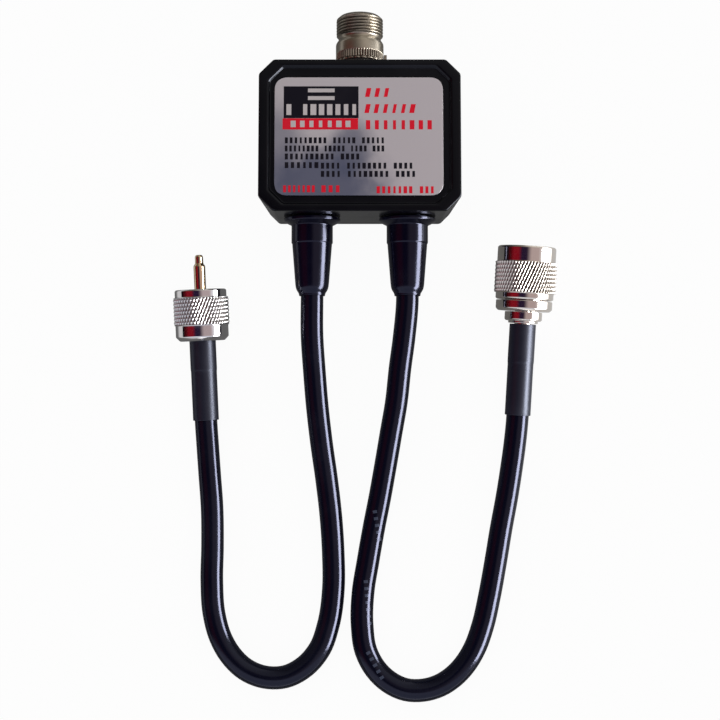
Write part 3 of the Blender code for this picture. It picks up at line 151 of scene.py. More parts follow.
class Sketch:
    """Adds nodes to an empty tree, with a value or a link for each input."""

    def __init__(self, tree: bpy.types.NodeTree) -> None:
        """Empty the tree and keep it."""
        tree.nodes.clear()
        self.tree = tree

    def add(self, kind: str, inputs: Inputs | None = None, **settings: object) -> bpy.types.Node:
        """Add a node.

        Args:
            kind: the node's type.
            inputs: the value or the socket for each input, by its name or number.
            settings: the node's own properties.

        Returns:
            The new node.
        """
        node = self.tree.nodes.new(kind)
        for name, value in settings.items():
            setattr(node, name, value)
        for key, value in (inputs or {}).items():
            if isinstance(value, bpy.types.NodeSocket):
                self.tree.links.new(value, node.inputs[key])
            else:
                node.inputs[key].default_value = value
        return node

    def math(self, operation: str, *values: Value) -> Socket:
        """Add a Math node and return its value."""
        return self.add("ShaderNodeMath", dict(enumerate(values)), operation=operation).outputs[0]

    def ramp(self, value: Socket, low: Value, high: Value) -> Socket:
        """Return a smooth step from 0 to 1 as a value goes from low to high."""
        inputs = {"Value": value, "From Min": low, "From Max": high}
        return self.add("ShaderNodeMapRange", inputs, interpolation_type="SMOOTHSTEP").outputs[0]

    def noise(self, vector: Socket, scale: Value, detail: float = 2.0) -> Socket:
        """Return a noise value between 0 and 1."""
        inputs = {"Vector": vector, "Scale": scale, "Detail": detail}
        return self.add("ShaderNodeTexNoise", inputs).outputs["Fac"]

    def blend(self, share: Socket, first: Shade, second: Shade) -> Socket:
        """Return a colour between two colours."""
        return self.add("ShaderNodeMix", {0: share, 6: first, 7: second}, data_type="RGBA").outputs[2]

    def between(self, share: Value, first: Value, second: Value) -> Socket:
        """Return a number between two numbers."""
        return self.add("ShaderNodeMix", {0: share, 2: first, 3: second}, data_type="FLOAT").outputs[0]

    def effect(self, tree: bpy.types.NodeTree, inputs: Inputs) -> bpy.types.Node:
        """Place a node group, with its inputs."""
        return self.add("ShaderNodeGroup", inputs, node_tree=tree)

    def parts(self, vector: Socket) -> tuple[Socket, Socket, Socket]:
        """Return a vector's X, Y and Z."""
        return tuple(self.add("ShaderNodeSeparateXYZ", {0: vector}).outputs)

    def mapped(
        self, vector: Socket, start: Sequence[float], turn: Sequence[float] = (0.0, 0.0, 0.0),
        size: Sequence[float] = (1.0, 1.0, 1.0),
    ) -> Socket:
        """Return coordinates that start at a place, and are turned and sized there."""
        inputs = {"Vector": vector, "Location": start, "Rotation": turn, "Scale": size}
        return self.add("ShaderNodeMapping", inputs, vector_type="TEXTURE").outputs["Vector"]

    def along(self, vector: Socket, axis: Place, stretch: float = 1.0) -> Socket:
        """Return coordinates with Z along a part's own axis, drawn out along it."""
        matrix = axis.matrix()
        return self.mapped(vector, matrix.to_translation() * MM, matrix.to_euler(), (1.0, 1.0, stretch))

    def end_geometry(self, geometry: Socket, material: Socket) -> None:
        """End a geometry tree with real shapes in their material.

        Args:
            geometry: what the tree has made.
            material: what it is dressed in.
        """
        real = self.add("GeometryNodeRealizeInstances", {"Geometry": geometry}).outputs[0]
        dressed = self.add("GeometryNodeSetMaterial", {"Geometry": real, "Material": material})
        self.add("NodeGroupOutput", {"Geometry": dressed.outputs[0]})


def new_group(
    name: str, kind: str, inputs: Mapping[str, str], outputs: Mapping[str, str],
) -> Group:
    """Start a node group with named sockets.

    Args:
        name: the group's name.
        kind: the type of tree.
        inputs: each input's short type by its name, such as "Float".
        outputs: each output's short type by its name.

    Returns:
        The group, a sketch of it and what it is given, by name.
    """
    tree = bpy.data.node_groups.new(name, kind)
    for way, sockets in (("INPUT", inputs), ("OUTPUT", outputs)):
        for label, short in sockets.items():
            tree.interface.new_socket(name=label, in_out=way, socket_type=f"NodeSocket{short}")
    sketch = Sketch(tree)
    return tree, sketch, sketch.add("NodeGroupInput").outputs


def effect_group(name: str, inputs: Mapping[str, str], outputs: Mapping[str, str]) -> Group:
    """Start a shader effect that several materials share."""
    return new_group(name, "ShaderNodeTree", inputs, outputs)


def shape_group(name: str, sizes: Sequence[str]) -> Group:
    """Start a geometry tree that takes a shape, named sizes and a material."""
    inputs = {"Geometry": "Geometry", **dict.fromkeys(sizes, "Float"), "Material": "Material"}
    return new_group(name, "GeometryNodeTree", inputs, {"Geometry": "Geometry"})


@cache
def fine_grain() -> bpy.types.NodeTree:
    """Make the effect of a fine moulded or cast grain, on first use.

    Returns:
        The group. It takes the place and the number of cells, and gives a height.
    """
    inputs = {"Vector": "Vector", "Cells": "Float"}
    tree, sketch, given = effect_group("fine_grain", inputs, {"Height": "Float"})
    soft = sketch.noise(given["Vector"], given["Cells"], 3.0)
    pits = sketch.add("ShaderNodeTexVoronoi", {"Vector": given["Vector"], "Scale": given["Cells"]})
    pit_share = 0.4
    height = sketch.between(pit_share, soft, pits.outputs["Distance"])
    sketch.add("NodeGroupOutput", {"Height": height})
    return tree


@cache
def handling_marks() -> bpy.types.NodeTree:
    """Make the effect of smudges and hair scratches from handling, on first use.

    Returns:
        The group. It takes the place, the number of patches and the scratches' strength,
        and gives a mask.
    """
    smudge_edge, hair_width, smudge_share = (0.42, 0.72), 0.012, 0.6
    inputs = {"Vector": "Vector", "Patches": "Float", "Scratches": "Float"}
    tree, sketch, given = effect_group("handling_marks", inputs, {"Mask": "Float"})
    place = given["Vector"]
    smudge = sketch.ramp(sketch.noise(place, given["Patches"], 5.0), *smudge_edge)
    streak = sketch.noise(place, sketch.math("MULTIPLY", given["Patches"], 3.0), 1.0)
    off_line = sketch.math("ABSOLUTE", sketch.math("SUBTRACT", streak, 0.5))
    hair = sketch.ramp(off_line, hair_width, 0.0)
    kept = sketch.math("MULTIPLY", hair, sketch.math("MULTIPLY", smudge, given["Scratches"]))
    both = sketch.math("ADD", sketch.math("MULTIPLY", smudge, smudge_share), kept)
    sketch.add("NodeGroupOutput", {"Mask": sketch.math("MINIMUM", both, 1.0)})
    return tree


@cache
def turned_lines() -> bpy.types.NodeTree:
    """Make the effect of the fine rings that a lathe leaves, on first use.

    Returns:
        The group. It takes the place and the number of lines in a metre, and gives a height.
    """
    tree, sketch, given = effect_group(
        "turned_lines", {"Vector": "Vector", "Lines": "Float"}, {"Height": "Float"},
    )
    _, _, height = sketch.parts(given["Vector"])
    along = sketch.math("MULTIPLY", height, given["Lines"])
    inputs = {"W": along, "Scale": 1.0, "Detail": 2.0}
    fine = sketch.add("ShaderNodeTexNoise", inputs, noise_dimensions="1D")
    sketch.add("NodeGroupOutput", {"Height": fine.outputs["Fac"]})
    return tree


@cache
def tone_and_gloss() -> bpy.types.NodeTree:
    """Make the effect that mixes a clean and a handled look by a mask, on first use.

    Returns:
        The group. It gives a colour and a roughness.
    """
    inputs = {
        "Mask": "Float", "Clean Colour": "Color", "Handled Colour": "Color",
        "Clean Roughness": "Float", "Handled Roughness": "Float",
    }
    outputs = {"Colour": "Color", "Roughness": "Float"}
    tree, sketch, given = effect_group("tone_and_gloss", inputs, outputs)
    mask = given["Mask"]
    colour = sketch.blend(mask, given["Clean Colour"], given["Handled Colour"])
    rough = sketch.between(mask, given["Clean Roughness"], given["Handled Roughness"])
    sketch.add("NodeGroupOutput", {"Colour": colour, "Roughness": rough})
    return tree


@dataclass(frozen=True)
class Finish:
    """A surface that varies between a clean and a handled look, with a fine grain."""

    name: str
    slot: Slot
    clean: Colour
    handled: Colour
    gloss: tuple[float, float]
    metallic: float = 0.0
    specular: float = 0.5
    tint: Colour = (1.0, 1.0, 1.0)
    cells: float = 4000.0
    depth: float = 0.000004
    patches: float = 70.0
    scratches: float = 0.5

    def coordinates(self, sketch: Sketch) -> Socket:
        """Return the coordinates that the finish is drawn on."""
        return sketch.add("ShaderNodeTexCoord").outputs["Object"]

    def mask(self, sketch: Sketch, place: Socket) -> Socket:
        """Return where the surface is handled, from 0 to 1."""
        inputs = {"Vector": place, "Patches": self.patches, "Scratches": self.scratches}
        return sketch.effect(handling_marks(), inputs).outputs["Mask"]

    def height(self, sketch: Sketch, place: Socket) -> Socket:
        """Return the surface's fine relief, from 0 to 1."""
        return sketch.effect(fine_grain(), {"Vector": place, "Cells": self.cells}).outputs["Height"]

    @cache
    def material(self) -> bpy.types.Material:
        """Make the finish's material, on first use.

        Returns:
            The material.
        """
        material = bpy.data.materials.new(self.name)
        material.use_nodes = True
        sketch = Sketch(material.node_tree)
        place = self.coordinates(sketch)
        tone = sketch.effect(tone_and_gloss(), {
            "Mask": self.mask(sketch, place),
            "Clean Colour": (*self.clean, 1.0), "Handled Colour": (*self.handled, 1.0),
            "Clean Roughness": self.gloss[0], "Handled Roughness": self.gloss[1],
        })
        relief = self.height(sketch, place)
        bump = sketch.add("ShaderNodeBump", {"Distance": self.depth, "Height": relief})
        shader = sketch.add("ShaderNodeBsdfPrincipled", {
            "Base Color": tone.outputs["Colour"], "Roughness": tone.outputs["Roughness"],
            "Metallic": self.metallic, "Specular IOR Level": self.specular,
            "Specular Tint": (*self.tint, 1.0), "Normal": bump.outputs["Normal"],
        })
        sketch.add("ShaderNodeOutputMaterial", {"Surface": shader.outputs["BSDF"]})
        return material


@dataclass(frozen=True)
class TurnedFinish(Finish):
    """A turned surface, with fine rings round the part's own axis and painted shade in its pressed
    grooves.
    """

    axis: Place = Place()
    lines: float = 9000.0
    ring_share: float = 0.7
    marks_share: float = 0.15
    groove_shade_share: float = 0.9
    groove_shade_edge: tuple[float, float] = (0.2, 0.85)

    def coordinates(self, sketch: Sketch) -> Socket:
        """Return coordinates with Z along the part's own axis."""
        return sketch.along(super().coordinates(sketch), self.axis)

    def mask(self, sketch: Sketch, place: Socket) -> Socket:
        """Find where the surface is faintly handled, and where shade is painted into a pressed groove.

        Args:
            sketch: the material's tree.
            place: the finish's coordinates.

        Returns:
            The mask.
        """
        marks = sketch.math("MULTIPLY", super().mask(sketch, place), self.marks_share)
        # Painted shade: the handled colour darkens the surface by how far down a pressed groove it lies.
        groove = sketch.add("ShaderNodeAttribute", attribute_name="groove").outputs["Fac"]
        groove_shade = sketch.math("MULTIPLY", sketch.ramp(groove, *self.groove_shade_edge), self.groove_shade_share)
        return sketch.math("MAXIMUM", marks, groove_shade)

    def height(self, sketch: Sketch, place: Socket) -> Socket:
        """Return the rings' relief with a little grain."""
        rings = sketch.effect(turned_lines(), {"Vector": place, "Lines": self.lines}).outputs["Height"]
        return sketch.between(self.ring_share, super().height(sketch, place), rings)


@dataclass(frozen=True)
class Cloud:
    """A darker, bluer patch on the foil: its middle and reach in mm, and its strength."""

    middle: tuple[float, float]
    reach: tuple[float, float]
    strength: float


@dataclass(frozen=True)
class FoilFinish(Finish):
    """Brushed silver foil with darker, bluer clouds over part of it."""

    clouds: tuple[Cloud, ...] = (
        Cloud((-13.0, -19.0), (23.0, 15.5), 0.90), Cloud((-3.0, -5.0), (7.5, 10.0), 0.72),
        Cloud((-28.0, -4.0), (10.0, 14.0), 0.55),
    )
    stretch: float = 0.02
    wobble_cells: float = 140.0
    raggedness: float = 0.6
    edge: tuple[float, float] = (1.3, 0.45)

    def cloud(self, sketch: Sketch, place: Socket, wobble: Socket, cloud: Cloud) -> Socket:
        """Draw one cloud.

        Args:
            sketch: the material's tree.
            place: the finish's coordinates.
            wobble: noise that makes the edge ragged.
            cloud: the cloud.

        Returns:
            How strong it is.
        """
        middle = (cloud.middle[0] * MM, cloud.middle[1] * MM, 0.0)
        local = sketch.mapped(place, middle, size=(cloud.reach[0] * MM, cloud.reach[1] * MM, 1.0))
        flat = sketch.add("ShaderNodeVectorMath", {0: local, 1: (1.0, 1.0, 0.0)}, operation="MULTIPLY")
        length = sketch.add("ShaderNodeVectorMath", {0: flat.outputs[0]}, operation="LENGTH")
        ragged = sketch.math(
            "ADD", length.outputs["Value"], sketch.math("MULTIPLY", wobble, self.raggedness),
        )
        return sketch.math("MULTIPLY", sketch.ramp(ragged, *self.edge), cloud.strength)

    def mask(self, sketch: Sketch, place: Socket) -> Socket:
        """Lay the clouds over each other.

        Args:
            sketch: the material's tree.
            place: the finish's coordinates.

        Returns:
            Their strength together.
        """
        wobble = sketch.math("SUBTRACT", sketch.noise(place, self.wobble_cells, 4.0), 0.5)
        clear: Value = 1.0
        for cloud in self.clouds:
            share = self.cloud(sketch, place, wobble, cloud)
            clear = sketch.math("MULTIPLY", sketch.math("SUBTRACT", 1.0, share), clear)
        return sketch.math("SUBTRACT", 1.0, clear)

    def height(self, sketch: Sketch, place: Socket) -> Socket:
        """Return the brushed lines along X."""
        drawn = sketch.add("ShaderNodeMapping", {"Vector": place, "Scale": (self.stretch, 1.0, 1.0)})
        return sketch.noise(drawn.outputs["Vector"], self.cells, 3.0)


@dataclass(frozen=True)
class DrawnFinish(Finish):
    """A drawn or shrunk surface, with faint streaks along one direction."""

    axis: Place = Place()
    stretch: float = 12.5

    def height(self, sketch: Sketch, place: Socket) -> Socket:
        """Return streaks along the part's own axis."""
        return sketch.noise(sketch.along(place, self.axis, self.stretch), self.cells, 3.0)


@dataclass(frozen=True)
class Stamp:
    """A printed word as a row of plain blocks on the cable's upper side, in mm."""

    middle: tuple[float, float]
    heading: float
    letters: int
    pitch: float = 2.3
    height: float = 1.4
    fill: float = 0.42


@dataclass(frozen=True)
class PrintedFinish(Finish):
    """A cable jacket with rows of pale blocks along it."""

    stamps: tuple[Stamp, ...] = (
        Stamp((5.9, -128.0), -81.0, 5), Stamp((2.7, -153.5), -85.0, 7), Stamp((5.4, -174.0), -61.0, 5),
    )
    lowest: float = 0.0052

    def stamp(self, sketch: Sketch, place: Socket, word: Stamp) -> Socket:
        """Draw one word.

        Args:
            sketch: the material's tree.
            place: the finish's coordinates.
            word: the word.

        Returns:
            1 on its blocks and 0 beside them.
        """
        middle = (word.middle[0] * MM, word.middle[1] * MM, 0.0)
        turn = (0.0, 0.0, math.radians(word.heading))
        local = sketch.mapped(place, middle, turn, (word.pitch * MM, word.height * MM, 1.0))
        along, across, _ = sketch.parts(local)
        within = sketch.math("LESS_THAN", sketch.math("ABSOLUTE", along), word.letters / 2)
        step = sketch.math("FRACT", sketch.math("ADD", along, word.letters / 2))
        block = sketch.math("MULTIPLY", within, sketch.math("LESS_THAN", step, word.fill))
        row = sketch.math("LESS_THAN", sketch.math("ABSOLUTE", across), 0.5)
        return sketch.math("MULTIPLY", block, row)

    def mask(self, sketch: Sketch, place: Socket) -> Socket:
        """Print the words on the cable's upper side.

        Args:
            sketch: the material's tree.
            place: the finish's coordinates.

        Returns:
            1 where the print is.
        """
        _, _, height = sketch.parts(place)
        printed: Value = 0.0
        for word in self.stamps:
            printed = sketch.math("MAXIMUM", printed, self.stamp(sketch, place, word))
        return sketch.math("MULTIPLY", printed, sketch.math("GREATER_THAN", height, self.lowest))


@dataclass(frozen=True)
class BoardFinish(Finish):
    """Solder mask over copper tracks."""

    tracks: float = 130.0
    edge: tuple[float, float] = (0.5, 0.56)

    def mask(self, sketch: Sketch, place: Socket) -> Socket:
        """Draw the tracks that run under the solder mask.

        Args:
            sketch: the material's tree.
            place: the finish's coordinates.

        Returns:
            1 over a track.
        """
        inputs = {"Vector": place, "Scale": self.tracks}
        cells = sketch.add("ShaderNodeTexVoronoi", inputs, distance="MANHATTAN")
        return sketch.ramp(cells.outputs["Distance"], *self.edge)


BLUE_SHEEN = (0.66, 0.70, 1.0)
SOCKET_PLACE = Place((0.0, 0.0, 16.5), -90.0)
UHF_PLACE = Place((-53.1, -65.2, 8.6153), -81.5, 2.44)
N_PLACE = Place((55.4, -55.2, 9.5054), -82.0, -3.3)

MOULDED = Finish(
    "moulded_plastic", Slot.PLASTIC, (0.0022, 0.0022, 0.0032), (0.005, 0.005, 0.007), (0.15, 0.27),
    specular=0.28, tint=(0.8, 0.85, 1.0), cells=2600.0, depth=0.000008, patches=45.0,
)
BOOT_RUBBER = Finish(
    "boot_rubber", Slot.RUBBER, (0.0024, 0.0020, 0.0085), (0.005, 0.005, 0.012), (0.15, 0.26),
    specular=0.42, tint=BLUE_SHEEN, cells=2200.0, depth=0.000010, patches=90.0,
)
GASKET_RUBBER = Finish(
    "gasket_rubber", Slot.RUBBER, (0.008, 0.008, 0.009), (0.02, 0.02, 0.021), (0.5, 0.65), cells=3000.0,
)
JACKET = Finish(
    "cable_jacket", Slot.JACKET, (0.0024, 0.0028, 0.0085), (0.005, 0.006, 0.013), (0.14, 0.24),
    specular=0.44, tint=BLUE_SHEEN, cells=900.0, depth=0.000016, patches=60.0,
)
PRINTED_JACKET = PrintedFinish(
    "printed_jacket", Slot.JACKET, (0.0024, 0.0028, 0.0085), (0.045, 0.055, 0.085), (0.14, 0.30),
    specular=0.44, tint=BLUE_SHEEN, cells=900.0, depth=0.000016,
)
RED_RUBBER = Finish(
    "red_rubber", Slot.SEAL, (0.42, 0.035, 0.02), (0.5, 0.09, 0.06), (0.4, 0.55), cells=2500.0,
)
WHITE_INSULATOR = Finish(
    "turned_insulator", Slot.INSULATOR, (0.80, 0.79, 0.75), (0.70, 0.68, 0.62), (0.42, 0.55), cells=5000.0,
)
SCREW_STEEL = Finish(
    "plated_screw", Slot.SCREW, (0.55, 0.55, 0.56), (0.36, 0.35, 0.34), (0.24, 0.42),
    metallic=1.0, cells=7000.0,
)
TIN = Finish(
    "tinned_sheet", Slot.TIN, (0.64, 0.64, 0.62), (0.46, 0.46, 0.45), (0.30, 0.48),
    metallic=1.0, cells=2500.0,
)
COPPER = Finish(
    "bare_copper", Slot.COPPER, (0.80, 0.40, 0.22), (0.52, 0.23, 0.12), (0.22, 0.42),
    metallic=1.0, cells=6000.0,
)
CERAMIC = Finish(
    "dipped_ceramic", Slot.CERAMIC, (0.60, 0.30, 0.08), (0.46, 0.21, 0.05), (0.35, 0.5),
    cells=1800.0, depth=0.00003,
)
BOARD = BoardFinish(
    "solder_mask", Slot.BOARD, (0.02, 0.13, 0.05), (0.05, 0.22, 0.09), (0.25, 0.32), cells=3500.0,
)
LABEL_FOIL = FoilFinish(
    "label_foil", Slot.LABEL, (0.68, 0.63, 0.67), (0.11, 0.125, 0.21), (0.34, 0.30),
    metallic=0.55, cells=9000.0, depth=0.000003,
)
BLACK_INK = Finish(
    "black_ink", Slot.LABEL, (0.004, 0.003, 0.010), (0.008, 0.007, 0.014), (0.35, 0.45),
    specular=0.2, cells=6000.0,
)
RED_INK = Finish(
    "red_ink", Slot.LABEL, (0.68, 0.003, 0.020), (0.56, 0.008, 0.03), (0.35, 0.45),
    specular=0.15, cells=6000.0,
)
SILVER_INK = Finish(
    "silver_ink", Slot.LABEL, (0.66, 0.61, 0.62), (0.54, 0.50, 0.52), (0.35, 0.45),
    metallic=0.4, cells=6000.0,
)


# What all bright plate has in common.
PLATE = {"metallic": 1.0, "depth": 0.0000012}


def nickel(name: str, axis: Place, colour: Colour) -> TurnedFinish:
    """Return bright nickel plate turned about an axis."""
    # The handled colour, a fifth as bright, is also the painted shade in a knurl's or thread's grooves.
    dark = tuple(0.2 * part for part in colour)
    return TurnedFinish(name, Slot.NICKEL, colour, dark, (0.08, 0.3), **PLATE, axis=axis)


def gold(name: str, axis: Place) -> TurnedFinish:
    """Return gold plate turned about an axis."""
    clean, dark = (0.90, 0.70, 0.46), (0.80, 0.56, 0.32)
    return TurnedFinish(name, Slot.GOLD, clean, dark, (0.12, 0.2), **PLATE, axis=axis)


# Its dark handled colour also paints shade into the thread and serration grooves.
SOCKET_NICKEL = TurnedFinish(
    "satin_nickel", Slot.NICKEL, (0.48, 0.43, 0.355), (0.09, 0.078, 0.065), (0.30, 0.44), metallic=1.0,
    depth=0.000003, patches=160.0, axis=SOCKET_PLACE, marks_share=0.35,
)
SOCKET_GOLD = gold("socket_gold", SOCKET_PLACE)
UHF_NICKEL = nickel("uhf_nickel", UHF_PLACE, (0.84, 0.82, 0.83))
UHF_GOLD = gold("uhf_gold", UHF_PLACE)
N_NICKEL = nickel("n_nickel", N_PLACE, (0.86, 0.80, 0.74))
N_GOLD = gold("n_gold", N_PLACE)


def rounded(
    corners: Sequence[Vector], radii: Sequence[float], closed: bool, steps: int = 3,
) -> list[Vector]:
    """Round the corners of a line of points.

    Args:
        corners: the points in order.
        radii: how far along its sides each corner's round starts.
        closed: whether the last point joins the first.
        steps: the number of short sides in each round.

    Returns:
        The points with each corner as a short curve. The ends of an open line stay.
    """
    last = len(corners) - 1
    soft: list[Vector] = []
    for index, corner in enumerate(corners):
        if not closed and index in (0, last):
            soft.append(corner.copy())
            continue
        back = corners[index - 1] - corner
        ahead = corners[(index + 1) % len(corners)] - corner
        start = corner + back.normalized() * min(radii[index], ROUND_LIMIT * back.length)
        end = corner + ahead.normalized() * min(radii[index], ROUND_LIMIT * ahead.length)
        for step in range(steps + 1):
            share = step / steps
            soft.append(start.lerp(corner, share).lerp(corner.lerp(end, share), share))
    return soft


def skin(name: str, rows: Sequence[Sequence[Vector]], looped: bool) -> bpy.types.Mesh:
    """Join rows of points with faces that point out.

    Args:
        name: the mesh's name.
        rows: rings with equal numbers of points, or with one point where the skin closes.
        looped: whether the last row joins the first. If not, the ends are capped.

    Returns:
        The mesh.
    """
    points: list[Vector] = []
    starts: list[int] = []
    for row in rows:
        starts.append(len(points))
        points.extend(row)
    joins = list(zip(range(len(rows)), range(1, len(rows))))
    if looped:
        joins.append((len(rows) - 1, 0))
    width = max(len(row) for row in rows)
    faces: list[tuple[int, ...]] = []
    for low, high in joins:
        below, above = len(rows[low]), len(rows[high])
        for here in range(width):
            after = (here + 1) % width
            corners = (
                starts[low] + here % below, starts[low] + after % below,
                starts[high] + after % above, starts[high] + here % above,
            )
            faces.append(tuple(dict.fromkeys(corners)))
    for end in (0, -1):
        if not looped and len(rows[end]) > 1:
            faces.append(tuple(range(starts[end], starts[end] + len(rows[end]))))
    mesh = bpy.data.meshes.new(name)
    mesh.from_pydata(points, [], faces)
    bm = bmesh.new()
    bm.from_mesh(mesh)
    bmesh.ops.recalc_face_normals(bm, faces=bm.faces)
    bm.to_mesh(mesh)
    bm.free()
    return mesh


def put(name: str, mesh: bpy.types.Mesh) -> bpy.types.Object:
    """Put a mesh in the scene.

    Args:
        name: the new object's name.
        mesh: its mesh.

    Returns:
        The object.
    """
    thing = bpy.data.objects.new(name, mesh)
    bpy.context.collection.objects.link(thing)
    return thing


def settle(thing: bpy.types.Object) -> None:
    """Turn a thing and its modifiers into one plain mesh.

    Args:
        thing: what is settled.
    """
    graph = bpy.context.evaluated_depsgraph_get()
    shape = thing.evaluated_get(graph)
    mesh = bpy.data.meshes.new_from_object(shape, preserve_all_data_layers=True, depsgraph=graph)
    thing.modifiers.clear()
    thing.data = mesh


def carve(thing: bpy.types.Object, tool: bpy.types.Mesh, cut: Cut = Cut.AWAY) -> None:
    """Cut a tool's shape out of a thing, or join it on.

    Args:
        thing: what is cut.
        tool: the shape to cut or join, in the same space.
        cut: which of the two.
    """
    helper = put("tool", tool)
    step = thing.modifiers.new("carve", "BOOLEAN")
    step.object = helper
    step.operation = cut.value
    step.solver = "EXACT"
    settle(thing)
    bpy.data.objects.remove(helper)


def grow(thing: bpy.types.Object, tree: bpy.types.NodeTree, values: Mapping[str, object]) -> None:
    """Run a geometry tree on a thing and keep the result as its mesh.

    Args:
        thing: the thing.
        tree: the geometry tree.
        values: the value of each of the tree's inputs, by its name.
    """
    step = thing.modifiers.new(tree.name, "NODES")
    step.node_group = tree
    for item in tree.interface.items_tree:
        if item.item_type == "SOCKET" and item.in_out == "INPUT" and item.name in values:
            step[item.identifier] = values[item.name]
    settle(thing)


# The relief tree's inputs, which are also the names of the sizes of a Relief.
RELIEF_SIZES = ("Radius", "Reach", "Low", "High", "Fade", "Depth", "Starts", "Rate", "Crossing", "Crest")


@dataclass(frozen=True)
class Relief:
    """Grooves pressed into a round wall: a knurl, a thread or serrations.

    Sizes are in mm. The pattern has a whole number of starts round the wall, and moves on
    by rate of its own pitches for each mm along the axis. A negative depth goes outwards.
    """

    radius: float
    low: float
    high: float
    depth: float
    starts: int
    rate: float = 0.0
    crossing: float = 0.0
    crest: float = 1.3
    fade: float = 0.3
    spacing: float = 0.15
    reach: float = 0.05

    @staticmethod
    @cache
    def tree() -> bpy.types.NodeTree:
        """Make the geometry tree that presses the grooves, on first use.

        Returns:
            The tree.
        """
        tree, sketch, size = shape_group("turned_relief", RELIEF_SIZES)
        x, y, z = sketch.parts(sketch.add("GeometryNodeInputPosition").outputs["Position"])
        flat = sketch.add("ShaderNodeCombineXYZ", {"X": x, "Y": y}).outputs[0]
        radius = sketch.add("ShaderNodeVectorMath", {0: flat}, operation="LENGTH").outputs["Value"]
        turn = sketch.math("DIVIDE", sketch.math("ARCTAN2", y, x), math.tau)
        around = sketch.math("MULTIPLY", turn, size["Starts"])
        climb = sketch.math("MULTIPLY", z, size["Rate"])

        def ridges(phase: Socket) -> Socket:
            """Return ridges that rise and fall once for each pitch."""
            return sketch.math("MULTIPLY", sketch.math("PINGPONG", phase, 0.5), 2.0)

        main = ridges(sketch.math("SUBTRACT", around, climb))
        cross = ridges(sketch.math("ADD", around, climb))
        lowered = sketch.math("MULTIPLY", sketch.math("SUBTRACT", 1.0, cross), size["Crossing"])
        sharp = sketch.math("MINIMUM", main, sketch.math("SUBTRACT", 1.0, lowered))
        height = sketch.math("MINIMUM", sketch.math("MULTIPLY", sharp, size["Crest"]), 1.0)
        starts = sketch.ramp(z, size["Low"], sketch.math("ADD", size["Low"], size["Fade"]))
        ends = sketch.ramp(z, size["High"], sketch.math("SUBTRACT", size["High"], size["Fade"]))
        away = sketch.math("ABSOLUTE", sketch.math("SUBTRACT", radius, size["Radius"]))
        near = sketch.math("LESS_THAN", away, size["Reach"])
        mask = sketch.math("MULTIPLY", sketch.math("MULTIPLY", starts, ends), near)
        groove = sketch.math("MULTIPLY", sketch.math("SUBTRACT", 1.0, height), mask)
        # Each point keeps how far into its groove it lies; turned finishes paint shade from this.
        before = sketch.add("GeometryNodeInputNamedAttribute", {"Name": "groove"}, data_type="FLOAT")
        deeper = sketch.math("MAXIMUM", before.outputs[0], groove)
        inputs = {"Geometry": size["Geometry"], "Name": "groove", "Value": deeper}
        marked = sketch.add("GeometryNodeStoreNamedAttribute", inputs, data_type="FLOAT", domain="POINT")
        way = sketch.add("ShaderNodeVectorMath", {0: flat}, operation="NORMALIZE").outputs[0]
        inward = sketch.math("MULTIPLY", groove, sketch.math("MULTIPLY", size["Depth"], -1.0))
        offset = sketch.add("ShaderNodeVectorMath", {0: way, "Scale": inward}, operation="SCALE")
        inputs = {"Geometry": marked.outputs["Geometry"], "Offset": offset.outputs[0]}
        moved = sketch.add("GeometryNodeSetPosition", inputs)
        sketch.end_geometry(moved.outputs["Geometry"], size["Material"])
        return tree

    def covers(self, first: Vector, second: Vector) -> bool:
        """Tell whether a side of an outline lies on the wall that is pressed."""
        on_wall = all(abs(point.x - self.radius) < self.reach for point in (first, second))
        return on_wall and min(first.y, second.y) < self.high and max(first.y, second.y) > self.low

    def press(self, thing: bpy.types.Object, finish: Finish) -> None:
        """Press the grooves into a turned thing that stands on its own Z axis."""
        values = {name: float(getattr(self, name.lower())) for name in RELIEF_SIZES}
        grow(thing, self.tree(), {**values, "Material": finish.material()})


def turned(
    name: str, outline: Sequence[Corner], finish: Finish, segments: int = 96,
    soft: float = 0.15, reliefs: Sequence[Relief] = (),
) -> bpy.types.Object:
    """Turn an outline about the local Z axis.

    Args:
        name: the piece's name.
        outline: (radius, place) corners in mm, each with its own round as an optional third.
            An outline that starts and ends on the axis makes a solid piece, any other a ring.
        finish: what the piece is dressed in.
        segments: the number of sides round it.
        soft: the round at the other corners, in mm.
        reliefs: the grooves pressed into its walls.

    Returns:
        The piece, in its own space.
    """
    closed = outline[0][0] > 0.0
    corners = [Vector(corner[:2]) for corner in outline]
    radii = [corner[2] if len(corner) > 2 else soft for corner in outline]
    line = rounded(corners, radii, closed)
    fine: list[Vector] = []
    for here, after in zip(line, line[1:] + line[:1]):
        fine.append(here)
        steps = [relief.spacing for relief in reliefs if relief.covers(here, after)]
        parts = math.ceil((after - here).length / min(steps)) if steps else 1
        fine.extend(here.lerp(after, part / parts) for part in range(1, parts))
    rows = [ring_points(point.x, point.y, segments if point.x > 0.0 else 1) for point in fine]
    thing = put(name, skin(name, rows, closed))
    for relief in reliefs:
        relief.press(thing, finish)
    return thing


def ring_points(radius: float, height: float, segments: int) -> list[Vector]:
    """Return evenly spaced points round the Z axis."""
    turns = [math.tau * step / segments for step in range(segments)]
    return [Vector((radius * math.cos(turn), radius * math.sin(turn), height)) for turn in turns]


def drum(
    radius: float, low: float, high: float, place: Matrix = Matrix(), segments: int = 48,
) -> bpy.types.Mesh:
    """Make a plain cylinder to cut or join with.

    Args:
        radius: its radius.
        low: the place of its lower end along its axis.
        high: the place of its upper end.
        place: where the axis stands.
        segments: the number of sides.

    Returns:
        The mesh.
    """
    rows = [ring_points(radius, low, segments), ring_points(radius, high, segments)]
    mesh = skin("drum", rows, looped=False)
    mesh.transform(place)
    return mesh


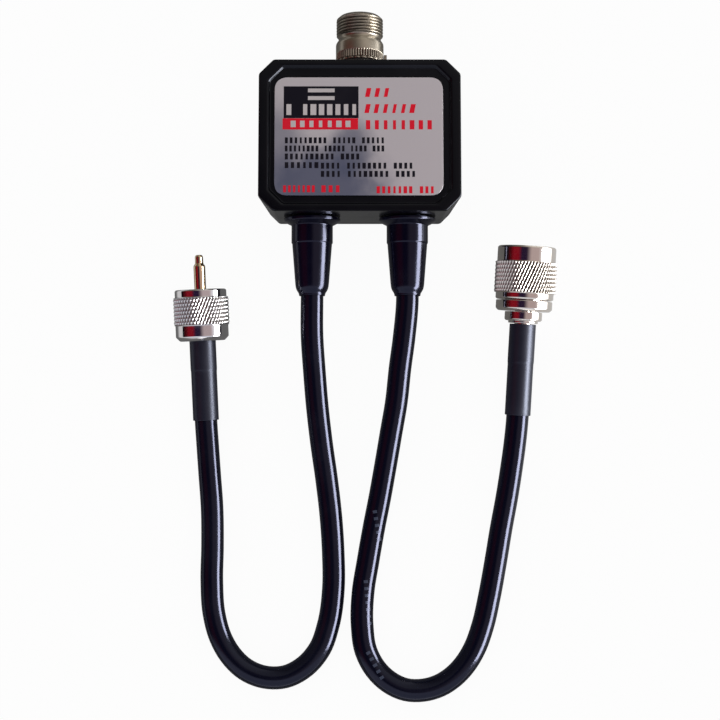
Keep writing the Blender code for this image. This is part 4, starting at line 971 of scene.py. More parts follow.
def block(size: Vector, centre: Vector, turn: float = 0.0) -> bpy.types.Mesh:
    """Make a block to cut or join with.

    Args:
        size: its sides.
        centre: its middle.
        turn: how far it then turns about the Z axis, in degrees.

    Returns:
        The mesh.
    """
    bm = bmesh.new()
    turned_about = Matrix.Rotation(math.radians(turn), 4, "Z")
    placed = turned_about @ Matrix.Translation(centre) @ Matrix.Diagonal((*size, 1.0))
    bmesh.ops.create_cube(bm, size=1.0, matrix=placed)
    mesh = bpy.data.meshes.new("block")
    bm.to_mesh(mesh)
    bm.free()
    return mesh


def loft(name: str, rings: Sequence[Sequence[Vector]], radii: Sequence[float]) -> bpy.types.Object:
    """Skin a stack of rings, with the edges between them rounded.

    Args:
        name: the piece's name.
        rings: rings with equal numbers of points, each of them capped at the two ends.
        radii: the round at each ring, in mm.

    Returns:
        The piece.
    """
    columns = [rounded(column, radii, closed=False) for column in zip(*rings)]
    return put(name, skin(name, list(zip(*columns)), looped=False))


def deliver(
    thing: bpy.types.Object, finish: Finish, nodes: Sequence[str],
    place: Place = Place(), body: Body = Body.DUPLEXER, crease: float = 40.0,
) -> bpy.types.Object:
    """Put a piece in its place, dress it and give it to the frame.

    Args:
        thing: the piece, in its own space and in mm.
        finish: what it is dressed in.
        nodes: the CAD nodes that it stands for.
        place: the part's own axis.
        body: the body that it moves with.
        crease: the angle in degrees above which an edge stays sharp.

    Returns:
        The piece.
    """
    thing.data.transform(Matrix.Scale(MM, 4) @ place.matrix())
    thing.data.shade_smooth()
    thing.data.set_sharp_from_angle(angle=math.radians(crease))
    thing.data.materials.clear()
    thing.data.materials.append(finish.material())
    even = thing.modifiers.new("even_normals", "WEIGHTED_NORMAL")
    even.keep_sharp = True
    settle(thing)
    hand_over(thing, nodes, body)
    return thing


def hand_over(thing: bpy.types.Object, nodes: Sequence[str], body: Body) -> None:
    """Give a finished piece to the frame and report it.

    Args:
        thing: the piece, in its place.
        nodes: the CAD nodes that it stands for.
        body: the body that it moves with.
    """
    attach(thing, body.value)
    if nodes:
        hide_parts(*nodes)
    log.info("%s: for %s", thing.name, ", ".join(nodes) or "detail")


def round_piece(
    name: str, outline: Sequence[Corner], finish: Finish, node: str, place: Place, segments: int = 96,
) -> bpy.types.Object:
    """Turn a plain round piece of the main body and give it to the frame.

    Args:
        name: the piece's name.
        outline: its corners, as for turned.
        finish: what it is dressed in.
        node: the CAD node that it stands for.
        place: the part's own axis.
        segments: the number of sides round it.

    Returns:
        The piece.
    """
    return deliver(turned(name, outline, finish, segments), finish, [node], place)


def boot_place(side: Side) -> Place:
    """Return the axis of the strain relief at a side."""
    return Place((16.0 * side.value, -24.475, 16.5), 94.073)


def upright(x: float, y: float) -> Matrix:
    """Return the place of an axis that stands on the housing's back, in mm."""
    return Matrix.Translation((x, y, 0.0))


@dataclass(frozen=True)
class Housing:
    """The moulded box: a front cover with a raised rim, a rear cover and four screws.

    Sizes are in mm. Rounds say how far along its sides each ring's soft edge starts.
    """

    width: float = 67.0
    length: float = 51.3
    depth: float = 33.0
    draft: float = 2.35
    corner_cut: float = 4.9
    corner_round: float = 0.7
    wall: float = 2.2
    rim: tuple[float, float] = (3.2, 2.2)
    recess_depth: float = 0.9
    recess_slope: float = 0.7
    recess_ring: float = 2.0
    shell_rounds: tuple[float, ...] = (0.0, 0.25, 0.55, 0.85, 0.25, 0.25, 0.0)
    parting: float = 3.0
    cover_thickness: float = 2.7
    back_ring: float = 3.0
    lip_gap: float = 0.3
    lip_wall: float = 1.5
    lip_height: float = 2.0
    lid_rounds: tuple[float, ...] = (0.0, 0.7, 0.25, 0.1, 0.25, 0.25, 0.0)
    gap: float = 0.3
    boss_radius: float = 3.2
    boss_hole: tuple[float, float] = (1.7, 11.55)
    post_place: float = 24.35
    post: tuple[float, float] = (2.8, 7.2)
    post_hole: tuple[float, float, float] = (1.4, 5.3, 12.5)
    hole_segments: int = 24
    boot_hole: float = 6.4
    socket_boss_radius: float = 8.7
    socket_boss: tuple[float, float] = (21.18, 27.4)
    socket_hole: float = 6.3
    socket_segments: int = 64
    screw_place: tuple[float, float] = (26.8, 18.6)
    screw_sink: float = 0.25
    countersink: tuple[float, float, float] = (3.0, 1.7, 1.4)
    screw: tuple[Corner, ...] = (
        (0.0, 0.0), (2.7, 0.0, 0.2), (2.55, 0.3), (1.4, 1.4, 0.2), (1.4, 9.8), (0.5, 11.0, 0.2),
        (0.0, 11.0),
    )
    screw_thread: Relief = Relief(
        radius=1.4, low=2.4, high=9.7, depth=0.25, starts=1, rate=1.0, spacing=0.12,
    )
    cross: tuple[float, float, float] = (2.8, 0.6, 1.8)

    def plan(self, half_x: float, half_y: float, cut: float, height: float) -> list[Vector]:
        """Draw an octagon with softly rounded corners.

        Args:
            half_x: half its width.
            half_y: half its length.
            cut: how much of each side its corners take.
            height: its height above the housing's back.

        Returns:
            Its points.
        """
        in_x, in_y = half_x - cut, half_y - cut
        corners = [
            (half_x, in_y), (in_x, half_y), (-in_x, half_y), (-half_x, in_y),
            (-half_x, -in_y), (-in_x, -half_y), (in_x, -half_y), (half_x, -in_y),
        ]
        points = [Vector((x, y, height)) for x, y in corners]
        return rounded(points, [self.corner_round] * len(points), closed=True)

    def moved_in(self, side: float, end: float, inset: float, height: float) -> list[Vector]:
        """Draw the housing's octagon moved in, with its corners' walls kept as thick as its sides'.

        Args:
            side: how far the long sides stand in from the housing's width.
            end: how far the short sides stand in from its length.
            inset: how far all sides, and the corners too, then move in.
            height: the height above the housing's back.

        Returns:
            Its points.
        """
        cut = self.corner_cut - (2.0 - math.sqrt(2.0)) * inset
        return self.plan(self.width / 2 - side - inset, self.length / 2 - end - inset, cut, height)

    def outline(self, inset: float, height: float) -> list[Vector]:
        """Return the drafted outer wall's octagon, moved in evenly, at a height."""
        drafted = self.draft * (self.depth - height) / self.depth
        return self.moved_in(0.0, 0.0, inset + drafted, height)

    def recess(self, inset: float, height: float) -> list[Vector]:
        """Return the label recess's octagon, moved in from the rim's edge, at a height."""
        return self.moved_in(*self.rim, inset, height)

    def screw_places(self) -> list[Matrix]:
        """Return the places of the four cover screws."""
        x, y = self.screw_place
        return [upright(side * x, end * y) for side in (-1, 1) for end in (-1, 1)]

    def front_cover(self) -> None:
        """Mould the front cover."""
        floor = self.depth - self.recess_depth
        ceiling = floor - self.wall
        inside = ceiling + self.wall / 2
        rings = [
            self.recess(self.recess_slope + self.recess_ring, floor),
            self.recess(self.recess_slope, floor),
            self.recess(0.0, self.depth),
            self.outline(0.0, self.depth),
            self.outline(0.0, self.parting),
            self.outline(self.wall, self.parting),
            self.outline(self.wall, ceiling),
        ]
        shell = loft("front_shell", rings, self.shell_rounds)
        posts = [upright(x, 0.0) for x in (-self.post_place, self.post_place)]
        for place in self.screw_places():
            carve(shell, drum(self.boss_radius, self.parting + self.gap, inside, place), Cut.JOIN)
        for place in posts:
            carve(shell, drum(*self.post, inside, place), Cut.JOIN)
        for side in Side:
            carve(shell, drum(self.boot_hole, -2 * self.wall, self.wall, boot_place(side).matrix()))
        hole, end = self.boss_hole
        for place in self.screw_places():
            carve(shell, drum(hole, 0.0, end, place, self.hole_segments))
        for place in posts:
            carve(shell, drum(*self.post_hole, place, self.hole_segments))
        low, high = self.socket_boss
        axis = SOCKET_PLACE.matrix()
        carve(shell, drum(self.socket_boss_radius, low, high, axis, self.socket_segments), Cut.JOIN)
        through = drum(self.socket_hole, low - self.wall, high + self.wall, axis, self.socket_segments)
        carve(shell, through)
        deliver(shell, MOULDED, ["front_cover"])

    def rear_cover(self) -> None:
        """Mould the rear cover with its lip and countersunk holes."""
        outside = self.wall + self.lip_gap
        inside = outside + self.lip_wall
        top = self.parting + self.lip_height
        rings = [
            self.outline(self.back_ring, 0.0),
            self.outline(0.0, 0.0),
            self.outline(0.0, self.cover_thickness),
            self.outline(outside, self.cover_thickness),
            self.outline(outside, top),
            self.outline(inside, top),
            self.outline(inside, self.cover_thickness - self.gap),
        ]
        lid = loft("rear_lid", rings, self.lid_rounds)
        head, hole, slope = self.countersink
        sink = self.screw_sink
        outline = [
            (0.0, -1.0), (head, -1.0), (head, sink), (hole, sink + slope), (hole, 6.0), (0.0, 6.0),
        ]
        for place in self.screw_places():
            carve(lid, drum(self.boss_radius + self.gap, self.cover_thickness, top + 1.0, place))
            countersink = turned("countersink", outline, MOULDED, 48, soft=0.0)
            countersink.data.transform(place)
            carve(lid, countersink.data)
            bpy.data.objects.remove(countersink)
        deliver(lid, MOULDED, ["rear_cover"])

    @staticmethod
    @cache
    def screw_tree() -> bpy.types.NodeTree:
        """Make the geometry tree that sets a screw at the corners of a rectangle, on first use.

        Returns:
            The tree.
        """
        tree, sketch, size = shape_group("screws_at_corners", ("Spread X", "Spread Y", "Sink"))
        grid = sketch.add("GeometryNodeMeshGrid", {
            "Size X": size["Spread X"], "Size Y": size["Spread Y"], "Vertices X": 2, "Vertices Y": 2,
        })
        lift = sketch.add("ShaderNodeCombineXYZ", {"Z": size["Sink"]}).outputs[0]
        raised = sketch.add("GeometryNodeSetPosition", {"Geometry": grid.outputs["Mesh"], "Offset": lift})
        placed = sketch.add("GeometryNodeInstanceOnPoints", {
            "Points": raised.outputs["Geometry"], "Instance": size["Geometry"],
        })
        sketch.end_geometry(placed.outputs["Instances"], size["Material"])
        return tree

    def screws(self) -> None:
        """Turn one cover screw, cut its cross recess and set all four."""
        screw = turned("cover_screws", self.screw, SCREW_STEEL, 32, reliefs=[self.screw_thread])
        for turn in (0.0, 90.0):
            carve(screw, block(Vector(self.cross), Vector(), turn))
        x, y = self.screw_place
        sizes = {"Spread X": 2 * x, "Spread Y": 2 * y, "Sink": self.screw_sink}
        grow(screw, self.screw_tree(), {**sizes, "Material": SCREW_STEEL.material()})
        deliver(screw, SCREW_STEEL, [f"cover_screw_{index}" for index in range(1, 5)])

    def build(self) -> None:
        """Build the covers and the screws."""
        self.front_cover()
        self.rear_cover()
        self.screws()


@dataclass(frozen=True)
class PrintRow:
    """A row of print as plain blocks.

    It has a lower left corner and a size in mm, and the number of blocks of each word. A block
    takes the share fill of its pitch, and widths vary that from block to block.
    """

    left: float
    low: float
    width: float
    height: float
    words: tuple[int, ...]
    slant: float = 0.0
    fill: float = 0.55
    widths: tuple[float, ...] = (1.1, 0.85, 1.0, 1.2, 0.9, 1.1, 0.75)

    def blocks(self) -> list[tuple[float, float, float, float]]:
        """Share the row's width among its blocks.

        Returns:
            Each block's middle and half sizes.
        """
        units = sum(self.words) + len(self.words) - 1
        pitch = self.width / (units - 1 + self.fill)
        half = pitch * self.fill / 2
        middle = self.low + self.height / 2
        found = []
        along = self.left + half
        for letters in self.words:
            for letter in range(letters):
                share = self.widths[(len(found) + letter) % len(self.widths)]
                width = half if letters == 1 else half * share
                found.append((along, middle, width, self.height / 2))
                along += pitch
            along += pitch
        return found


@dataclass(frozen=True)
class Label:
    """The silver plate in the recess and the plain fields printed on it, in mm."""

    width: float = 55.6
    length: float = 39.8
    corner: float = 4.5
    edge: float = 1.0
    rounds: tuple[float, ...] = (0.0, 0.1, 0.12, 0.0)
    thickness: float = 0.4
    low: float = 32.4
    shift: tuple[float, float] = (-0.3, -0.5)
    ink: float = 0.025
    panel: tuple[float, float, float, float] = (-12.75, 10.95, 12.35, 5.4)
    strip: tuple[float, float, float, float] = (-13.0, 3.6, 12.45, 1.88)
    heading_rows: tuple[PrintRow, ...] = (
        PrintRow(2.1, 12.75, 7.4, 3.0, (3,), slant=0.2, fill=0.45),
        PrintRow(1.9, 7.3, 16.2, 3.0, (6,), slant=0.2, fill=0.45),
        PrintRow(2.1, 1.75, 21.6, 3.1, (8,), fill=0.45),
    )
    text_rows: tuple[PrintRow, ...] = (
        PrintRow(-24.6, -2.95, 32.6, 2.0, (9, 5, 5)),
        PrintRow(-24.6, -5.7, 32.6, 2.0, (8, 5, 4, 3)),
        PrintRow(-24.6, -8.4, 24.4, 2.0, (10, 4)),
        PrintRow(-24.6, -11.3, 10.9, 2.0, (6,)),
        PrintRow(-12.7, -11.5, 30.0, 2.0, (4, 8, 4)),
        PrintRow(-12.7, -14.25, 30.9, 2.0, (4, 8, 4)),
    )
    range_rows: tuple[PrintRow, ...] = (
        PrintRow(-25.1, -19.4, 10.3, 2.3, (7,)),
        PrintRow(-12.5, -19.4, 5.9, 2.3, (3,)),
        PrintRow(5.6, -19.75, 18.7, 2.35, (7, 3)),
    )
    pale_rows: tuple[PrintRow, ...] = (
        PrintRow(-17.1, 14.3, 8.8, 1.3, (1,), fill=1.0),
        PrintRow(-17.1, 11.7, 8.8, 1.3, (1,), fill=1.0),
        PrintRow(-24.2, 6.6, 23.2, 3.7, (1, 7), fill=0.6),
        PrintRow(-22.7, 2.5, 19.6, 2.2, (7,), fill=0.5),
    )

    def plan(self, inset: float, height: float) -> list[Vector]:
        """Draw the plate's rounded rectangle.

        Args:
            inset: how far it is moved in, on all sides.
            height: its height above the housing's back.

        Returns:
            Its points.
        """
        half_x = self.width / 2 - inset
        half_y = self.length / 2 - inset
        corners = [(half_x, half_y), (-half_x, half_y), (-half_x, -half_y), (half_x, -half_y)]
        points = [Vector((x + self.shift[0], y + self.shift[1], height)) for x, y in corners]
        return rounded(points, [self.corner - inset] * len(points), closed=True, steps=10)

    def plate(self) -> None:
        """Cut the plate with its soft edges."""
        low, top = self.low, self.low + self.thickness
        sides = ((self.edge, low), (0.0, low), (0.0, top), (self.edge, top))
        foil = loft("label_foil", [self.plan(*side) for side in sides], self.rounds)
        deliver(foil, LABEL_FOIL, ["label_plate"])

    @staticmethod
    @cache
    def block_tree() -> bpy.types.NodeTree:
        """Make the geometry tree that lays a thin block on each point, on first use.

        Returns:
            The tree.
        """
        tree, sketch, size = shape_group("print_blocks", ("Thickness",))

        def stored(name: str, kind: str = "FLOAT") -> Socket:
            """Return a value that is stored on each point."""
            return sketch.add("GeometryNodeInputNamedAttribute", {"Name": name}, data_type=kind).outputs[0]

        unit = sketch.add("GeometryNodeMeshCube", {"Size": (2.0, 2.0, 1.0)}).outputs["Mesh"]
        x, y, _ = sketch.parts(stored("half_size", "FLOAT_VECTOR"))
        scale = sketch.add("ShaderNodeCombineXYZ", {"X": x, "Y": y, "Z": size["Thickness"]})
        inputs = {"Points": size["Geometry"], "Instance": unit, "Scale": scale.outputs[0]}
        placed = sketch.add("GeometryNodeInstanceOnPoints", inputs)
        real = sketch.add("GeometryNodeRealizeInstances", {"Geometry": placed.outputs["Instances"]})
        _, along, _ = sketch.parts(sketch.add("GeometryNodeInputPosition").outputs["Position"])
        rise = sketch.math("SUBTRACT", along, stored("middle"))
        lean = sketch.add("ShaderNodeCombineXYZ", {"X": sketch.math("MULTIPLY", rise, stored("slant"))})
        inputs = {"Geometry": real.outputs["Geometry"], "Offset": lean.outputs[0]}
        leant = sketch.add("GeometryNodeSetPosition", inputs)
        sketch.end_geometry(leant.outputs["Geometry"], size["Material"])
        return tree

    def ink_layer(
        self, name: str, finish: Finish, fields: Sequence[Sequence[float]], rows: Sequence[PrintRow],
        level: int,
    ) -> None:
        """Print one colour.

        Args:
            name: the piece's name.
            finish: the ink.
            fields: the middle and half sizes of the plain fields.
            rows: the rows of blocks.
            level: 0 for ink on the plate, 1 for ink on other ink.
        """
        marks = [(*one, 0.0) for one in fields]
        marks += [(*one, row.slant) for row in rows for one in row.blocks()]
        height = self.low + self.thickness + self.ink * (level + 0.5)
        mesh = bpy.data.meshes.new(name)
        mesh.from_pydata([(mark[0], mark[1], height) for mark in marks], [], [])
        half = mesh.attributes.new("half_size", "FLOAT_VECTOR", "POINT")
        half.data.foreach_set("vector", [size for mark in marks for size in (mark[2], mark[3], 0.0)])
        for label, column in (("middle", 1), ("slant", 4)):
            stored = mesh.attributes.new(label, "FLOAT", "POINT")
            stored.data.foreach_set("value", [mark[column] for mark in marks])
        thing = put(name, mesh)
        grow(thing, self.block_tree(), {"Thickness": self.ink, "Material": finish.material()})
        deliver(thing, finish, [])

    def build(self) -> None:
        """Build the plate and its print."""
        self.plate()
        self.ink_layer("label_print_black", BLACK_INK, [self.panel], self.text_rows, 0)
        red_rows = (*self.heading_rows, *self.range_rows)
        self.ink_layer("label_print_red", RED_INK, [self.strip], red_rows, 0)
        self.ink_layer("label_print_pale", SILVER_INK, [], self.pale_rows, 1)


@dataclass(frozen=True)
class AntennaSocket:
    """The N socket in the top wall, with its insulator, contact, washer and gasket.

    Sizes are in mm, from the socket's axis and along it. Pairs are a start and an end.
    """

    shank: float = 6.0
    shank_end: float = 17.18
    collar: tuple[float, float] = (29.5, 35.4)
    collar_radius: float = 8.1
    serrations_end: float = 32.0
    neck: tuple[float, float] = (36.8, 37.8)
    neck_radius: float = 7.2
    thread: tuple[float, float] = (38.4, 44.0)
    thread_radius: float = 7.94
    face: float = 45.2
    rim_radius: float = 6.8
    mouth: float = 4.35
    lip: tuple[float, float] = (0.8, 1.6)
    clearance: float = 0.2
    insulator_start: float = 1.9
    insulator_face: float = 35.8
    contact_radius: float = 1.5
    contact_tip: float = 40.4
    contact_bore: float = 0.85
    contact_depth: float = 4.0
    cup_radius: float = 1.1
    cup_end: float = 13.78
    slot_size: tuple[float, float, float] = (4.0, 0.28, 3.4)
    slot_middle: float = 1.5
    hole: float = 6.3
    gasket: tuple[float, float] = (27.7, 28.3)
    gasket_radius: float = 8.5
    washer: tuple[float, float] = (28.6, 29.2)
    washer_radius: float = 8.6
    washer_shift: float = 0.25
    tab_size: tuple[float, float, float] = (1.0, 4.4, 2.7)
    tab_middle: tuple[float, float, float] = (8.67, 0.0, 29.96)

    def body(self) -> None:
        """Turn the socket's body with its serrated collar and its thread."""
        lip_wall, lip_height = self.lip
        lip, lip_radius = self.shank_end + lip_height, self.mouth - lip_wall
        face, rim, mouth = self.face, self.rim_radius, self.mouth
        outline = [
            (self.shank, self.shank_end), (self.shank, self.collar[0]),
            (self.collar_radius, self.collar[0]),
            (self.collar_radius, self.serrations_end + self.clearance, 0.1),
            (self.collar_radius, self.collar[1], 0.5),
            (self.neck_radius, self.neck[0], 0.3), (self.neck_radius, self.neck[1], 0.3),
            (self.thread_radius, self.thread[0], 0.2), (self.thread_radius, self.thread[1], 0.3),
            (rim, face - 0.15, 0.3), (rim - 0.3, face, 0.1), (mouth + 0.5, face), (mouth, face - 0.5),
            (mouth, lip), (lip_radius, lip), (lip_radius, self.shank_end),
        ]
        thread = Relief(
            radius=self.thread_radius, low=self.thread[0] - 0.2, high=self.thread[1] + 0.1, depth=0.55,
            starts=1, rate=1.0 / THREAD_PITCH, crest=1.15, fade=0.35, spacing=0.09,
        )
        serrations = Relief(
            radius=self.collar_radius, low=self.collar[0] - 0.3, high=self.serrations_end, depth=0.32,
            starts=56, crest=1.2, fade=0.15, spacing=0.25,
        )
        body = turned("socket_shell", outline, SOCKET_NICKEL, 560, reliefs=[thread, serrations])
        deliver(body, SOCKET_NICKEL, ["socket_body"], SOCKET_PLACE, crease=60.0)

    def inside(self) -> None:
        """Turn the insulator and the slotted centre contact."""
        low, face = self.shank_end + self.insulator_start, self.insulator_face
        outer, inner = self.mouth - self.clearance, self.contact_radius + self.clearance
        bead = [
            (outer, low), (outer, face), (inner + 0.8, face), (inner + 0.5, face - 0.3),
            (inner, face - 0.3), (inner, low),
        ]
        round_piece("socket_bead", bead, WHITE_INSULATOR, "socket_insulator", SOCKET_PLACE)
        shoulder, tip = self.shank_end + self.lip[1], self.contact_tip
        floor = tip - self.contact_depth
        pin = [
            (0.0, self.cup_end), (self.cup_radius, self.cup_end), (self.cup_radius, shoulder),
            (self.contact_radius, shoulder), (self.contact_radius, tip, 0.25),
            (self.contact_bore, tip, 0.2), (self.contact_bore, floor), (0.0, floor),
        ]
        contact = turned("socket_fingers", pin, SOCKET_GOLD, 48)
        for turn in (45.0, 135.0):
            middle = Vector((0.0, 0.0, tip - self.slot_middle))
            carve(contact, block(Vector(self.slot_size), middle, turn))
        deliver(contact, SOCKET_GOLD, ["socket_contact"], SOCKET_PLACE)

    def flat_ring(self, outer: float, span: tuple[float, float]) -> list[Corner]:
        """Return the outline of a flat ring round the socket's shank."""
        low, high = span
        return [(self.hole, low), (outer, low), (outer, high), (self.hole, high)]

    def stack(self) -> None:
        """Turn the rubber gasket and the lock washer.

        The washer sits a little to the side and has a bent tab.
        """
        seal = self.flat_ring(self.gasket_radius, self.gasket)
        round_piece("socket_seal", seal, GASKET_RUBBER, "socket_gasket", SOCKET_PLACE)
        low, high = self.washer
        teeth = Relief(
            radius=self.washer_radius, low=low - 1.0, high=high + 1.0, depth=0.22, starts=24, crest=1.6,
            spacing=0.3,
        )
        ring = self.flat_ring(self.washer_radius, self.washer)
        washer = turned("lock_washer", ring, SOCKET_NICKEL, 192, reliefs=[teeth])
        washer.data.transform(Matrix.Translation((self.washer_shift, 0.0, 0.0)))
        carve(washer, block(Vector(self.tab_size), Vector(self.tab_middle)), Cut.JOIN)
        deliver(washer, SOCKET_NICKEL, ["socket_lock_washer"], SOCKET_PLACE)

    def build(self) -> None:
        """Build the socket's pieces."""
        self.body()
        self.inside()
        self.stack()


@dataclass(frozen=True)
class StrainRelief:
    """A moulded strain relief with a round flange and a stepped taper.

    Each corner is (wall, place along the axis) in mm, with its round as an optional third.
    """

    band: str
    place: Place
    bore: float = 4.0
    inner: tuple[Corner, ...] = ((0.0, -4.1), (3.2, -4.1), (3.2, -2.5), (2.1, -2.5), (2.1, 0.3))
    flange: tuple[Corner, ...] = ((5.5, 0.3, 0.2), (5.5, 1.4, 0.3), (2.95, 2.7, 0.3))
    step: tuple[Corner, ...] = ((2.95, 8.6, 0.2), (2.7, 8.85, 0.2))
    taper: tuple[Corner, ...] = (
        (1.6, BOOT_LENGTH - 3.4, 1.0), (1.3, BOOT_LENGTH - 2.1, 0.8), (0.45, BOOT_LENGTH - 0.8, 0.5),
        (0.35, BOOT_LENGTH, 0.1), (0.0, BOOT_LENGTH, 0.05),
    )

    def build(self) -> bpy.types.Object:
        """Turn the strain relief.

        Returns:
            The piece.
        """
        corners = (*self.inner, *self.flange, *self.step, *self.taper)
        outline = [(self.bore + wall, *rest) for wall, *rest in corners]
        node = f"{self.band}_boot"
        return round_piece(f"{self.band}_relief", outline, BOOT_RUBBER, node, self.place, 80)


@dataclass(frozen=True)
class Sleeve:
    """A shrunk tube over a plug's ferrule and the start of its cable.

    It starts and ends at places behind the plug, in mm, and narrows past the ferrule's end.
    """

    name: str
    node: str
    place: Place
    start: float
    ferrule_end: float
    end: float
    wide: float = 4.1
    narrow: float = 4.0
    wall: float = 0.35

    def build(self) -> bpy.types.Object:
        """Turn the sleeve.

        Returns:
            The piece.
        """
        wide, narrow, wall = self.wide, self.narrow, self.wall
        blend = self.ferrule_end + 2 * (wide - narrow) + 0.3
        outline = [
            (wide, -self.start), (wide + wall, -self.start, 0.2), (wide + wall, -self.ferrule_end, 0.6),
            (narrow + wall, -blend, 0.8), (narrow + wall, -self.end, 0.2), (narrow, -self.end),
            (narrow, -blend), (wide, -self.ferrule_end),
        ]
        finish = DrawnFinish(
            f"{self.name}_tube", Slot.RUBBER, (0.007, 0.007, 0.017), (0.011, 0.011, 0.023), (0.36, 0.46),
            specular=0.55, tint=(0.74, 0.80, 1.0), cells=2200.0, depth=0.000012, axis=self.place,
        )
        return round_piece(self.name, outline, finish, self.node, self.place, 64)


@dataclass(frozen=True)
class Lead:
    """A coax lead from inside the housing to a plug, through given points in metres."""

    name: str
    node: str
    boot: Place
    plug: Place
    sleeve_end: float
    cable_end: float
    route: tuple[tuple[float, float, float], ...]
    length: float
    far_end: str
    finish: Finish
    radius: float = 3.8
    inner_length: float = 13.0
    spacing: float = 0.0015

    def curve_points(self) -> list[Vector]:
        """Space points evenly along the smooth run from the strain relief to the sleeve.

        Returns:
            The points, in metres.
        """
        mouth = self.boot.at(BOOT_LENGTH) * MM
        sleeve = self.plug.at(-self.sleeve_end) * MM
        route = [mouth, *(Vector(point) for point in self.route), sleeve]
        slopes = [(self.boot.at(1.0) - self.boot.at(0.0)).normalized()]
        for before, here, after in zip(route, route[1:], route[2:]):
            come, go = here - before, after - here
            near, far = come.length, go.length
            slopes.append((come / near * far + go / far * near) / (near + far))
        slopes.append((self.plug.at(1.0) - self.plug.at(0.0)).normalized())
        points = [route[0]]
        for start, end, slope, next_slope in zip(route, route[1:], slopes, slopes[1:]):
            chord = (end - start).length
            count = max(2, round(chord / self.spacing))
            for step in range(1, count + 1):
                share = step / count
                points.append(between_points(start, end, slope * chord, next_slope * chord, share))
        return points

    def build(self) -> bpy.types.Object:
        """Lay the cable.

        Returns:
            The piece.
        """
        first, last = self.boot.at(-self.inner_length) * MM, self.plug.at(-self.cable_end) * MM
        points = [first, *self.curve_points(), last]
        curve = bpy.data.curves.new(self.name, "CURVE")
        curve.dimensions = "3D"
        curve.bevel_depth = self.radius * MM
        curve.bevel_resolution = 10
        curve.use_fill_caps = True
        spline = curve.splines.new("POLY")
        spline.points.add(len(points) - 1)
        for slot, point in zip(spline.points, points):
            slot.co = (*point, 1.0)
        spline.use_smooth = True
        curve.materials.append(self.finish.material())
        cable = bpy.data.objects.new(self.name, curve)
        bpy.context.collection.objects.link(cable)
        hand_over(cable, [self.node], Body.DUPLEXER)
        return cable

    def declare(self, pieces: Sequence[bpy.types.Object | str]) -> None:
        """Find the point, in metres, where the cord leaves the housing, and do nothing with it.

        Args:
            pieces: not used.
        """
        self.boot.at(0.0) * MM


def between_points(start: Vector, end: Vector, slope: Vector, next_slope: Vector, part: float) -> Vector:
    """Find a point on the cubic between two points with given slopes.

    Args:
        start: the first point.
        end: the last point.
        slope: the slope at the first.
        next_slope: the slope at the last.
        part: how far along the point is, from 0 to 1.

    Returns:
        The point.
    """
    square = part * part
    cube = square * part
    return (
        start * (2 * cube - 3 * square + 1) + slope * (cube - 2 * square + part)
        + end * (3 * square - 2 * cube) + next_slope * (cube - square)
    )


def inner_thread(bore: float, low: float, high: float) -> Relief:
    """Return the thread inside a coupling ring or nut."""
    sizes = {"depth": -0.45, "starts": 1, "crest": 1.2, "fade": 0.5, "spacing": 0.18}
    return Relief(radius=bore, low=low, high=high, rate=1.0 / THREAD_PITCH, **sizes)


